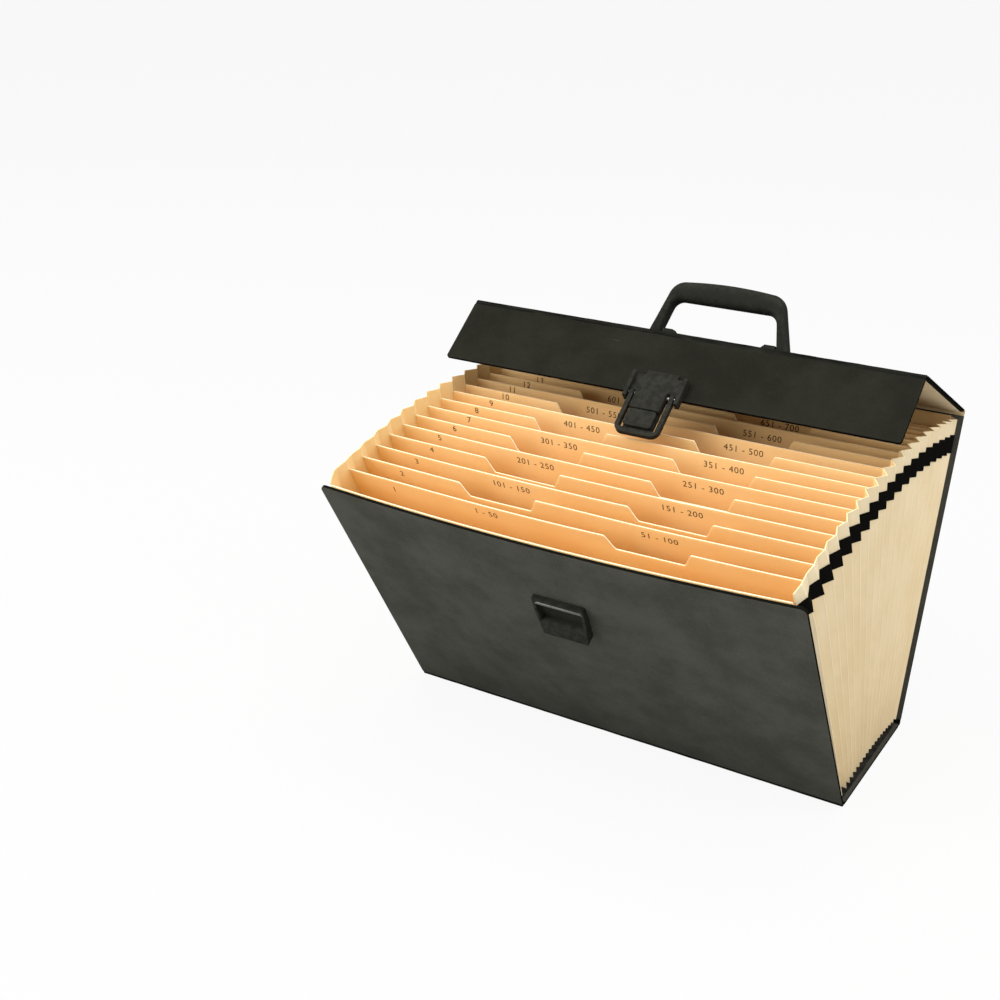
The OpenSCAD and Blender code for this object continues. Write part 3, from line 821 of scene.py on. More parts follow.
def stations(low: float, high: float, count: int, rims: Sequence[float] = ()) -> list[float]:
    """Even places from low to high, with more beside both ends.

    Args:
        low: First place.
        high: Last place.
        count: Number of even steps.
        rims: Distances from each end at which places are added.

    Returns:
        The places in order.
    """
    places = {low, high}
    inner = max(rims, default=0.0)
    for i in range(count + 1):
        places.add(between(low + inner, high - inner, i / count))
    for rim in rims:
        places.update((low + rim, high - rim))
    return sorted(places)


@dataclass
class CaseSizes:
    """Sizes of the case, all as in the construction model."""

    width: float = 381.0
    base_d: float = 146.0
    front_h: float = 260.0
    back_h: float = 262.0
    lid_d: float = 148.0
    flap_l: float = 59.0
    board_t: float = 2.4
    fold_gap: float = 2.8
    corner_r: float = 5.0
    flap_corner_r: float = 2.0
    lining_t: float = 0.5
    lining_inset: float = 3.0
    front_bow: float = 6.0
    front_tilt: float = 32.0
    back_tilt: float = 16.0
    lid_rise: float = 25.0
    flap_slope: float = 51.0
    pockets: int = 19
    pleat_rise: float = 9.0
    pleat_drop: float = 5.0
    leaf_sink: float = 8.5
    front_leaf_rise: float = 1.5
    back_leaf_drop: float = 4.0
    leaf_t: float = 1.0
    fan_bunch: float = 0.8
    inner_inset: float = 8.5
    outer_inset: float = 2.5
    floor_rise: float = 7.0
    pleat_t: float = 0.8
    strip_h: float = 12.5
    tape_h: float = 15.0
    tape_t: float = 0.4
    tape_gap: float = 0.15
    tip_lift: float = 7.0
    air: float = 0.3
    joint_gap: float = 0.1

    @property
    def half_w(self) -> float:
        """Half of the case's width."""
        return self.width / 2

    @property
    def front_y(self) -> float:
        """Y of the front fold's axis."""
        return -self.base_d / 2 + self.board_t

    @property
    def back_y(self) -> float:
        """Y of the back fold's axis."""
        return self.base_d / 2 - self.board_t

    @property
    def floor_z(self) -> float:
        """Top of the base's lining."""
        return self.board_t + self.lining_t

    @property
    def leaf_z(self) -> float:
        """Height of the leaves' lower folds."""
        return self.floor_z + self.floor_rise

    @property
    def leaf_half_w(self) -> float:
        """Half of a leaf's width."""
        return self.half_w - self.inner_inset - self.pleat_t - self.air

    def front(self) -> SideFrame:
        """Frame of the front board, h outward."""
        return SideFrame(self.front_y, self.board_t, 90 + self.front_tilt)

    def back(self) -> SideFrame:
        """Frame of the back board, h inward."""
        return SideFrame(self.back_y, self.board_t, 90 - self.back_tilt)

    def lid(self) -> SideFrame:
        """Frame of the lid, h inward."""
        return self.back().shifted(self.back_h, 0, 90 - self.lid_rise + self.back_tilt)

    def flap(self) -> SideFrame:
        """Frame of the flap, h inward."""
        return self.lid().shifted(self.lid_d, 0, 90 - self.flap_slope + self.lid_rise)

    def base(self) -> SideFrame:
        """Frame of the base from the front fold rearward, h upward."""
        return SideFrame(self.front_y, self.board_t, 0)

    def leaf(self, k: int) -> SideFrame:
        """Frame of leaf k, h forward."""
        return SideFrame(self.leaf_y(k), self.leaf_z, 90 + self.leaf_tilt(k))

    def leaf_tilt(self, k: float) -> float:
        """Forward lean of leaf k, in degrees.

        Args:
            k: Number of the leaf.

        Returns:
            The lean.
        """
        share = k / self.pockets
        fanned = share + self.fan_bunch * share**6 * (1 - share)
        return self.front_tilt - (self.front_tilt + self.back_tilt) * fanned

    def leaf_y(self, k: float) -> float:
        """Y of leaf k's lower fold."""
        bead = 2 * self.leaf_t
        return between(self.front_y + bead, self.back_y - bead, k / self.pockets)

    def leaf_h(self, k: float) -> float:
        """Height of the pocket line of leaf k."""
        return self.pleat_h(k) - self.leaf_sink

    def pleat_h(self, k: float) -> float:
        """Height of the pleated sides at leaf k.

        Args:
            k: Number of the leaf.

        Returns:
            The height.
        """
        foot = self.leaf_z - self.board_t
        front = self.front_h + self.pleat_rise - foot
        back = self.back_h - self.pleat_drop - foot
        return between(front, back, k / self.pockets)

    def sheet_h(self, k: int) -> float:
        """Height of sheet k itself; the two on the boards have tops of their own.

        Args:
            k: Number of the sheet.

        Returns:
            The height.
        """
        foot = self.leaf_z - self.board_t
        if k == 0:
            return self.front_h + self.front_leaf_rise - foot
        if k == self.pockets:
            return self.back_h - self.back_leaf_drop - foot
        return self.leaf_h(k)

    def leaf_edge(self, k: int, s: float) -> Point2:
        """Y and Z at height s on a leaf's side edge; the end leaves lie on their boards.

        Args:
            k: Number of the sheet.
            s: Height along it.

        Returns:
            Y and Z.
        """
        along = s + self.leaf_z - self.board_t
        lift = self.leaf_t + self.air
        if k == 0:
            return self.front().spot(along, -lift)
        if k == self.pockets:
            return self.back().spot(along, lift)
        return self.leaf(k).spot(s, 0)

    def fold_point(self, n: int, down: float) -> Point2:
        """Y and Z of fold line n at a distance below the pleated sides' top edges.

        Args:
            n: Number of the fold line.
            down: Distance below the top.

        Returns:
            Y and Z.
        """
        if n % 2 == 0:
            k = n // 2
            return self.leaf_edge(k, self.pleat_h(k) - down)
        first, second = self.fold_point(n - 1, down), self.fold_point(n + 1, down)
        return (first[0] + second[0]) / 2, (first[1] + second[1]) / 2

    def fold_low(self, n: int) -> Point2:
        """Y and Z of the lower end of fold line n.

        Args:
            n: Number of the fold line.

        Returns:
            Y and Z.
        """
        if n % 2 == 0:
            return self.leaf_edge(n // 2, self.leaf_t)
        first, second = self.leaf_edge(n // 2, 0), self.leaf_edge(n // 2 + 1, 0)
        lift = self.tip_lift * math.sin(math.pi * n / (2 * self.pockets))
        return (first[0] + second[0]) / 2, self.leaf_z - self.floor_rise / 2 + lift

    def bow(self, x: float, s: float) -> float:
        """How far the front board bows outward at a place on it."""
        return self.front_bow * s / self.front_h * (1 - (2 * x / self.width) ** 2)


def card(
    frame: SideFrame,
    xs: Sequence[float],
    share_rows: Sequence[float],
    low: Callable[[float], float],
    high: Callable[[float], float],
    h0: float,
    h1: float,
    swell: Swell | None = None,
) -> Shell:
    """A thin solid sheet with straight sides whose lower and upper edges may vary across it.

    Args:
        frame: Frame of the sheet.
        xs: Places of its columns.
        share_rows: Places of its rows, from 0 at the lower edge to 1 at the upper one.
        low: Lower edge at a column.
        high: Upper edge at a column.
        h0: Height of its lower face.
        h1: Height of its upper face.
        swell: Extra height at a place.

    Returns:
        The shell.
    """
    shell = Shell()
    sheets = []
    for h in (h0, h1):
        rows = []
        for share in share_rows:
            row = []
            for x in xs:
                s = between(low(x), high(x), share)
                extra = swell(x, s) if swell else 0.0
                row.append(shell.add(frame.point(x, s, h + extra), (x, s)))
            rows.append(row)
        sheets.append(rows)
    shell.block(*sheets)
    return shell


def corner_cut(x: float, half_w: float, radius: float) -> float:
    """How far a rounded corner lowers a sheet's edge at x.

    Args:
        x: Place across the sheet.
        half_w: Half of its width.
        radius: Radius of the corner.

    Returns:
        The drop of the edge.
    """
    inside = abs(x) - (half_w - radius)
    if inside <= 0:
        return 0.0
    return radius - math.sqrt(max(0.0, radius**2 - min(inside, radius) ** 2))


def columns_with_corners(half_w: float, radius: float, count: int, steps: int = 7) -> list[float]:
    """Columns across a sheet, close together where its corners turn.

    Args:
        half_w: Half of the sheet's width.
        radius: Radius of its corners.
        count: Number of even columns between the corners.
        steps: Columns around each corner.

    Returns:
        The places in order.
    """
    turn = [half_w - radius + radius * math.sin(math.pi / 2 * i / steps) for i in range(steps + 1)]
    inner = half_w - radius
    middle = [between(-inner, inner, i / count) for i in range(1, count)]
    return sorted({*(-x for x in turn), *turn, *middle})


# ------------------------------------------------------------------ sub-assemblies


@dataclass
class CoveredBoards:
    """The five covered boards of the case and the creased strips that join them."""

    case: CaseSizes
    edge_round: float = 0.9
    strip_t: float = 0.7
    # Distance from the fold and depth below the boards' faces, from inside a board to the fold
    profile: tuple[Point2, ...] = ((4.6, 0.7), (3.6, 0.4), (2.7, 0.55), (1.9, 0.35), (1.1, 0.15))

    def board(
        self,
        node: str,
        body: str,
        frame: SideFrame,
        span: Point2,
        heights: Point2,
        finish: Finish,
        corner: float = 0.4,
        swell: Swell | None = None,
    ) -> bpy.types.Object:
        """Makes one board with rounded edges.

        Args:
            node: The CAD node it replaces.
            body: The body it rides on.
            frame: Frame of the board.
            span: Distances at which it starts and ends.
            heights: Heights of its two faces.
            finish: Its finish.
            corner: Radius of its far corners.
            swell: Extra height at a place.

        Returns:
            The board.
        """
        half = self.case.half_w
        shell = card(
            frame,
            columns_with_corners(half, corner, 36),
            [0.0, 0.008, *(i / 14 for i in range(1, 14)), 0.992, 1.0],
            lambda x: span[0],
            lambda x: span[1] - corner_cut(x, half, corner),
            *heights,
            swell,
        )
        piece = rounded(shell.piece(node + "_cover", finish), self.edge_round, 4)
        tidied(piece, finish, 50)
        mark_rim(piece, frame.normal())
        return seated(piece, body, node)

    def strip(
        self,
        node: str,
        first: SideFrame,
        second: SideFrame,
        lined: float = 0.0,
    ) -> bpy.types.Object:
        """Makes the creased strip that joins two boards across their fold.

        Both frames start on the fold's axis with s growing away from it. The covering is the
        side where h grows on the first frame and falls on the second.

        Args:
            node: The CAD node it replaces.
            first: Frame of the first board.
            second: Frame of the second board.
            lined: 1 where paper lines its inner face.

        Returns:
            The strip.
        """
        case = self.case
        walk = [(s, case.board_t - depth) for s, depth in self.profile]
        outer = [first.spot(s, h) for s, h in walk]
        ahead = [second.spot(s, -h) for s, h in walk[::-1]]
        outer += self._arc(outer[-1], ahead[0], (second.y, second.z), 5) + ahead
        axis = (second.y, second.z)
        inner = [self._toward(outer, i, self.strip_t, axis) for i in range(len(outer))]
        half = case.half_w
        shell = Shell()
        rings = []
        for x in stations(-half, half, 90, (0.4, 1.2)):
            pinch = 0.3 if abs(x) > half - 0.1 else 0.0
            ring = []
            for i, (y, z) in enumerate(outer + inner[::-1]):
                free = min(i, len(outer) - 1 - i) > 1
                ripple = 0.1 + 0.16 * soft_noise(x / 11, i * 0.7, second.y) if free else 0.0
                point = Vector((x, y, z))
                toward = (Vector((x, *axis)) - point).normalized()
                paper = lined if i >= len(outer) else 0.0
                ring.append(shell.add(point + toward * (ripple + pinch), (x, i), 0.0, paper))
            rings.append(ring)
        shell.tube(rings)
        piece = shell.piece(node + "_strip", Finish.FOLD, 60)
        start = first.point(0, case.fold_gap, 0) * MM
        end = second.point(0, case.fold_gap, 0) * MM
        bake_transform(piece)
        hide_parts(node)
        return piece

    @staticmethod
    def _arc(start: Point2, end: Point2, center: Point2, steps: int) -> list[Point2]:
        """Places on the short arc between two places about a centre, without its ends.

        Args:
            start: Place where it starts.
            end: Place where it ends.
            center: Its centre.
            steps: How many steps it has.

        Returns:
            The places.
        """
        a0 = math.atan2(start[1] - center[1], start[0] - center[0])
        a1 = math.atan2(end[1] - center[1], end[0] - center[0])
        turn = (a1 - a0 + math.pi) % math.tau - math.pi
        radius = math.dist(start, center)
        return [
            (center[0] + radius * math.cos(a0 + turn * i / steps),
             center[1] + radius * math.sin(a0 + turn * i / steps))
            for i in range(1, steps)
        ]

    @staticmethod
    def _toward(line: Sequence[Point2], i: int, depth: float, inside: Point2) -> Point2:
        """Place i of a line, moved square to the line toward its inner side.

        Args:
            line: The line's places.
            i: Number of the place.
            depth: How far it is moved.
            inside: A place on the inner side.

        Returns:
            The moved place.
        """
        before, after = line[max(i - 1, 0)], line[min(i + 1, len(line) - 1)]
        along = Vector((after[0] - before[0], after[1] - before[1])).normalized()
        side = Vector((-along.y, along.x))
        if side.dot(Vector(inside) - Vector(line[i])) < 0:
            side = -side
        return line[i][0] + side.x * depth, line[i][1] + side.y * depth

    def build(self) -> list[bpy.types.Object]:
        """Builds all boards and strips.

        Returns:
            The pieces.
        """
        case, t, gap = self.case, self.case.board_t, self.case.fold_gap
        base, front, back = case.base(), case.front(), case.back()
        lid, flap = case.lid(), case.flap()
        inward, outward = (-t, 0.0), (0.0, t)
        flat = case.back_y - case.front_y
        # The lid and the flap take the darker copy of the covering, which is painted shade.
        covered, shaded_lid_cover = Finish.BOARD, Finish.LID_BOARD
        return [
            self.board("base_board", "base", base, (gap, flat - gap), inward, covered),
            self.board("front_board", "front_panel", front, (gap, case.front_h), outward, covered,
                       case.corner_r, case.bow),
            self.board("back_board", "back_panel", back, (gap, case.back_h - gap), inward, covered),
            self.board("lid_board", "lid", lid, (gap, case.lid_d - gap), inward, shaded_lid_cover),
            self.board("flap_board", "flap", flap, (gap, case.flap_l), inward, shaded_lid_cover,
                       case.flap_corner_r),
            self.strip("front_bottom_fold", front, base),
            self.strip("back_bottom_fold",
                       base.shifted(flat, 0, 180), back),
            self.strip("back_top_fold",
                       back.shifted(case.back_h, 0, 180), lid, 1.0),
            self.strip("lid_front_fold",
                       lid.shifted(case.lid_d, 0, 180), flap),
        ]


@dataclass
class IndexLeaves:
    """The notched leaves between the pockets, with plain numbers printed on them."""

    case: CaseSizes
    notch_top_w: float = 65.0
    notch_low_w: float = 51.0
    notch_d: float = 13.0
    notch_odd_x: float = 69.0
    notch_even_x: float = -60.0
    corner_r: float = 0.8
    figure_h: float = 5.2
    range_drop: float = 10.5
    tab_x: float = -144.0
    tab_drop: float = 6.4
    tab_sink: float = 5.5

    def notch_x(self, k: int) -> float:
        """Centre of leaf k's notch."""
        return self.notch_odd_x if k % 2 else self.notch_even_x

    def top_drop(self, k: int, x: float) -> float:
        """How far leaf k's top edge lies below its full height at x.

        Args:
            k: Number of the leaf; the end leaves have no notch.
            x: Place across the leaf.

        Returns:
            The drop.
        """
        corner = corner_cut(x, self.case.leaf_half_w, self.corner_r)
        if k in (0, self.case.pockets):
            return corner
        away = abs(x - self.notch_x(k))
        inner, outer = self.notch_low_w / 2, self.notch_top_w / 2
        share = min(1.0, max(0.0, (outer - away) / (outer - inner)))
        eased = share * share * (3 - 2 * share) * 0.5 + share * 0.5
        return max(corner, self.notch_d * eased)

    def wave(self, k: int, x: float, s: float) -> float:
        """How far leaf k bends forward at a place on it.

        Args:
            k: Number of the leaf.
            x: Place across the leaf.
            s: Height on the leaf.

        Returns:
            The bend.
        """
        case = self.case
        if k == 0:
            return case.bow(x, s + case.leaf_z - case.board_t)
        if k == case.pockets:
            return 0.0
        free = (s / case.leaf_h(k)) ** 2
        hold = 1 - (x / case.leaf_half_w) ** 2
        bow = 3.6 * (1 - k / 12) if k < 12 else 0.0
        ripple = 0.9 * soft_noise(x / 95, k * 3.7, s / 160)
        return free * hold * (bow + ripple)

    def leaf(self, k: int) -> bpy.types.Object:
        """Makes leaf k.

        Args:
            k: Number of the leaf, with 0 on the front board and the last on the back board.

        Returns:
            The leaf.
        """
        case = self.case
        half = case.leaf_half_w
        xs = set(columns_with_corners(half, self.corner_r, 48, 4))
        if 0 < k < case.pockets:
            for side in (-1, 1):
                for i in range(9):
                    away = between(self.notch_low_w / 2, self.notch_top_w / 2, i / 8)
                    xs.add(self.notch_x(k) + side * away)
        frame, heights, body, node = self._seat(k)
        low = case.leaf_z - case.board_t if k in (0, case.pockets) else 0.0
        shell = card(
            frame,
            self._spread(sorted(xs)),
            [0.0, *(i / 12 for i in range(1, 12)), 0.985, 1.0],
            lambda x: low,
            lambda x: low + case.sheet_h(k) - self.top_drop(k, x),
            *heights,
            lambda x, s: self.wave(k, x, s - low),
        )
        piece = rounded(shell.piece(node + "_sheet", Finish.LEAF), 0.28, 2)
        tidied(piece, Finish.LEAF, 60)
        mark_rim(piece, frame.normal())
        return seated(piece, body, node)

    @staticmethod
    def _spread(xs: Sequence[float]) -> list[float]:
        """Columns with those closer than 0.15 mm left out, so that no face is a sliver.

        Args:
            xs: The columns.

        Returns:
            Those that stay.
        """
        kept = [xs[0]]
        for x in xs[1:-1]:
            if x - kept[-1] > 0.15 and xs[-1] - x > 0.15:
                kept.append(x)
        return [*kept, xs[-1]]

    def _seat(self, k: int) -> tuple[SideFrame, Point2, str, str]:
        """Frame, face heights, body and CAD node of leaf k.

        Args:
            k: Number of the leaf.

        Returns:
            The four.
        """
        case, t = self.case, self.case.leaf_t
        if k == 0:
            return case.front(), (-t - case.joint_gap, -case.joint_gap), "front_panel", "front_leaf"
        if k == case.pockets:
            return case.back(), (case.joint_gap, case.joint_gap + t), "back_panel", "back_leaf"
        return case.leaf(k), (-t / 2, t / 2), f"leaf_{k:02d}", f"leaf_{k:02d}"

    def figures(self, k: int) -> bpy.types.Object:
        """Prints leaf k's number near its left end and its range opposite its own notch.

        Args:
            k: Number of the leaf.

        Returns:
            The print.
        """
        case = self.case
        range_x = self.notch_even_x if k % 2 else self.notch_odd_x
        words = [
            (f"{50 * k - 49} - {50 * k}", range_x, case.leaf_h(k) - self.range_drop),
            (str(k), self.tab_x + 2.5 * math.sin(k * 2.1),
             case.leaf_h(k) - self.tab_drop - self.tab_sink * math.exp((1 - k) / 2)),
        ]
        frame, heights, body, _ = self._seat(k)
        shell = Shell()
        for text, x0, s0 in words:
            points, faces = self._outline(text)
            first = len(shell.points)
            for u, v in points:
                x, s = x0 + u, s0 + v
                lift = heights[1] + self.wave(k, x, s) + 0.05
                shell.add(frame.point(x, s, lift), (x, s))
            shell.faces += [tuple(first + i for i in face) for face in faces]
        piece = shell.piece(f"leaf_{k:02d}_figures", Finish.INK)
        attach(piece, body)
        return piece

    def _outline(self, text: str) -> tuple[list[Point2], list[tuple[int, ...]]]:
        """Flat faces of a line of figures, centred at 0.

        Args:
            text: The figures.

        Returns:
            Points in millimetres, and faces.
        """
        curve = bpy.data.curves.new("figures", "FONT")
        curve.body = text
        curve.align_x = "CENTER"
        curve.size = self.figure_h / 0.7
        curve.space_character = 1.12
        curve.resolution_u = 4
        holder = bpy.data.objects.new("figures", curve)
        bpy.context.scene.collection.objects.link(holder)
        view = bpy.context.evaluated_depsgraph_get()
        mesh = bpy.data.meshes.new_from_object(holder.evaluated_get(view))
        points = [(v.co.x, v.co.y) for v in mesh.vertices]
        faces = [tuple(p.vertices) for p in mesh.polygons]
        bpy.data.objects.remove(holder)
        bpy.data.curves.remove(curve)
        bpy.data.meshes.remove(mesh)
        return points, faces

    def build(self) -> list[bpy.types.Object]:
        """Builds all leaves and their print.

        Returns:
            The pieces.
        """
        last = self.case.pockets
        leaves = [self.leaf(k) for k in range(last + 1)]
        return leaves + [self.figures(k) for k in range(1, last)]


@dataclass
class PleatedSides:
    """The pleated paper sides with their black tape, one piece for each pleat."""

    case: CaseSizes
    ease: float = 0.1
    pull_in: float = 5.2
    pull_length: float = 45.0
    pull_last: float = 16.0
    corner_drop: float = 7.0
    corner_length: float = 22.0

    def pleat(self, k: int, side: int, tape: bool) -> bpy.types.Object:
        """Makes the pleat between leaves k and k + 1 on one side, or the tape over it.

        Args:
            k: Number of the leaf in front of it.
            side: 1 for the right side, -1 for the left.
            tape: Makes the tape instead of the paper.

        Returns:
            The piece.
        """
        case = self.case
        rows = self._rows(k, tape)
        outer = case.tape_t + case.tape_gap if tape else 0.0
        layers = (outer - (case.tape_t if tape else case.pleat_t), outer)
        shell = Shell()
        sheets = []
        for offset in layers:
            sheet = []
            for height, row in rows:
                line = []
                for share in self._columns():
                    inner = 0.0 if tape or offset == outer else 1.0
                    line.append(self._point(shell, k, side, row, height, share, offset, inner))
                sheet.append(line if side > 0 else line[::-1])
            sheets.append(sheet)
        shell.block(*sheets)
        word = "tape" if tape else "gusset"
        where = "right" if side > 0 else "left"
        finish = Finish.TAPE if tape else Finish.PLEAT
        piece = shell.piece(f"{where}_{word}_pleat_{k + 1:02d}", finish, 28)
        self._mark_cut(piece)
        self._blend(piece, k)
        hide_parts(f"{where}_{word}")
        return piece

    @staticmethod
    def _columns() -> list[float]:
        """Places across a pleat, from its front inner fold at 0 over its outer fold to 2."""
        half = [0.0, 0.05, 0.1, 0.3, 0.6, 0.8, 0.9, 0.96, 1.0]
        return half + [2 - share for share in half[-2::-1]]

    def _rows(self, k: int, tape: bool) -> list[tuple[float, list[Point2]]]:
        """Rows of a pleat from low to high: the height in millimetres and its three fold points.

        Args:
            k: Number of the pleat.
            tape: Whether it is the tape's pleat.

        Returns:
            The rows.
        """
        case = self.case
        folds = range(2 * k, 2 * k + 3)
        low, high = case.strip_h + case.tape_h, case.strip_h

        def row(down: float) -> tuple[float, list[Point2]]:
            """The row at a distance below the top."""
            return case.pleat_h(k) - down, [case.fold_point(n, down) for n in folds]

        if tape:
            return [row(between(low, high, i / 4)) for i in range(5)]
        foot = [case.fold_low(n) for n in folds]
        neck = [case.fold_point(n, low) for n in folds]
        rows = []
        for i in range(15):
            share = i / 15
            spots = [
                (between(a[0], b[0], share), between(a[1], b[1], share))
                for a, b in zip(foot, neck)
            ]
            rows.append((share * (case.pleat_h(k) - low), spots))
        return rows + [row(d) for d in (low, between(low, high, 0.5), high, high / 2, 0.6, 0.0)]

    def _point(
        self,
        shell: Shell,
        k: int,
        side: int,
        row: Sequence[Point2],
        height: float,
        share: float,
        offset: float,
        inner: float,
    ) -> int:
        """Adds one point of a pleat.

        Args:
            shell: The shell it is added to.
            k: Number of the pleat.
            side: 1 for the right side, -1 for the left.
            row: The row's three fold points.
            height: The row's height on the leaf.
            share: Place across the pleat, 0 to 2.
            offset: Distance outward from the paper's outer face.
            inner: 1 on the face inside the case.

        Returns:
            The point's number.
        """
        case = self.case
        down = case.pleat_h(k) - height
        half, part = (0, share) if share <= 1 else (1, share - 1)
        first, second = row[half], row[half + 1]
        y, z = between(first[0], second[0], part), between(first[1], second[1], part)
        out = share if share <= 1 else 2 - share
        near_top = max(0.0, 1 - down / self.pull_length) ** 2
        pull = self.pull_in * near_top * (1 - self._smooth(2 * k / self.pull_last))
        inset = between(case.inner_inset, case.outer_inset + pull, self._soft(out))
        if k == 0 and side < 0 and share < 1:
            drop = self.corner_drop * (1 - share) ** 2 * max(0.0, 1 - down / self.corner_length)
            fall = case.front().spot(-drop, 0)
            y, z = y + fall[0] - case.front().y, z + fall[1] - case.front().z
        sway = 0.35 * soft_noise(height / 55, k * 1.9 + half * 0.6, side * 3.0)
        sway *= math.sin(math.pi * out)
        x = side * (case.half_w - inset + offset + sway)
        # The outer-fold mask feeds paler creases and a painted highlight in the paper, the
        # inner-fold mask painted shade.
        ridge = max(0.0, 1 - abs(1 - share) * 9)
        valley_shade = max(0.0, 1 - min(share, 2 - share) * 9)
        return shell.add(Vector((x, y, z)), ((k + share / 2) * 18, height), ridge - valley_shade, inner)

    @staticmethod
    def _smooth(share: float) -> float:
        """Smooth step from 0 to 1, level at both ends."""
        share = min(1.0, max(0.0, share))
        return share * share * (3 - 2 * share)

    def _soft(self, out: float) -> float:
        """Distance outward over a pleat's half, eased where the paper turns at both folds.

        Args:
            out: Share of the way out, from 0 to 1.

        Returns:
            The eased share.
        """
        ease = self.ease
        if out < ease:
            return out * out / (2 * ease)
        if out > 1 - ease:
            return 1 - ease / 2 - (1 - out) ** 2 / (2 * ease) + ease / 2
        return out

    @staticmethod
    def _mark_cut(piece: bpy.types.Object) -> None:
        """Marks the upward-facing top rim of a pleat, where the paper's trimmed edge shows, paler
        partly as a painted highlight.

        Args:
            piece: The pleat.
        """
        mesh = piece.data
        rim = mesh.attributes.new("rim", "FLOAT", "POINT")
        rim.data.foreach_set("value", [max(0.0, v.normal.z - 0.4) for v in mesh.vertices])

    def _blend(self, piece: bpy.types.Object, k: int) -> None:
        """Bakes a pleat's placement into its mesh.

        It also works out where the leaf beside it that turns further would start and stop turning
        it, but does not turn it.

        Args:
            piece: The pleat.
            k: Number of the leaf in front of it.
        """
        case = self.case
        near, far = (k, k + 1), (k + 1, k)
        lead, other = near if abs(case.leaf_tilt(k)) > abs(case.leaf_tilt(k + 1)) else far
        loss = min(1.0, 1 - case.leaf_tilt(other) / case.leaf_tilt(lead))
        frame = case.leaf(lead)
        height = case.pleat_h(lead)
        top = frame.point(0, height, 0)
        normal = frame.normal() if lead < other else -frame.normal()
        spread = abs((Vector((0, *case.leaf_edge(other, height))) - top).dot(normal)) / 2
        reach = spread / math.sqrt(0.16 * loss / 3)
        end = top + normal * (0.6 * spread)
        start = end - normal * reach
        tuple(start * MM)
        tuple(end * MM)
        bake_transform(piece)

    def floor(self) -> bpy.types.Object:
        """Makes the folded paper bottom of the pockets: a ridge under every leaf.

        Returns:
            The floor.
        """
        case = self.case
        ridge = case.leaf_z - case.leaf_t - case.air - case.pleat_t
        line = []
        for n in range(4, 4 * case.pockets - 3):
            height = abs(n % 4 - 2) / 2
            line.append((case.leaf_y(n / 4), between(case.floor_z, ridge, height)))
        shell = Shell()
        rings = []
        for x in stations(-case.leaf_half_w, case.leaf_half_w, 40):
            low = [shell.add(Vector((x, y, z)), (x, y)) for y, z in line]
            high = [shell.add(Vector((x, y, z + case.pleat_t)), (x, y)) for y, z in line]
            rings.append(low + high[::-1])
        shell.tube(rings)
        piece = shell.piece("pocket_floor_sheet", Finish.PLEAT, 40)
        return seated(piece, "base", "pocket_floor")

    def build(self) -> list[bpy.types.Object]:
        """Builds the pleats of both sides, their tape and the pockets' floor.

        Returns:
            The pieces.
        """
        pieces = [self.floor()]
        for side in (1, -1):
            for k in range(self.case.pockets):
                pieces += [self.pleat(k, side, False), self.pleat(k, side, True)]
        return pieces


def softened(node: bpy.types.Object, name: str, width: float, finish: Finish) -> bpy.types.Object:
    """Copies a hard part, clears its flat faces of extra edges and rounds its corners.

    Args:
        node: The CAD node.
        name: Name of the copy.
        width: Width of the rounding, in millimetres.
        finish: Its finish.

    Returns:
        The rounded part.
    """
    mesh = node.data.copy()
    work = bmesh.new()
    work.from_mesh(mesh)
    bmesh.ops.remove_doubles(work, verts=work.verts, dist=WELD)
    bmesh.ops.dissolve_limit(work, angle_limit=math.radians(1), verts=work.verts, edges=work.edges)
    inside = [e for e in work.edges if len(e.link_faces) == 2]
    sharp = [e for e in inside if e.calc_face_angle(0) > SHARP_PART_EDGE]
    bmesh.ops.bevel(
        work, geom=sharp, offset=width * MM, offset_type="OFFSET", segments=3, profile=0.5,
        affect="EDGES", clamp_overlap=True,
    )
    bmesh.ops.triangulate(work, faces=[f for f in work.faces if len(f.verts) > 4])
    work.to_mesh(mesh)
    work.free()
    piece = bpy.data.objects.new(name, mesh)
    bpy.context.scene.collection.objects.link(piece)
    tidied(piece, finish, 34)
    mark_corners(piece)
    return piece


@dataclass
class Fitting:
    """One moulded or steel fitting whose rounded form comes from its CAD solid."""

    node: str
    body: str
    finish: Finish
    rounding: float

    def build(self, nodes: dict[str, bpy.types.Object]) -> bpy.types.Object:
        """Builds the fitting.

        Args:
            nodes: The CAD nodes by name.

        Returns:
            The piece.
        """
        piece = softened(nodes[self.node], self.node + "_part", self.rounding, self.finish)
        return seated(piece, self.body, self.node)


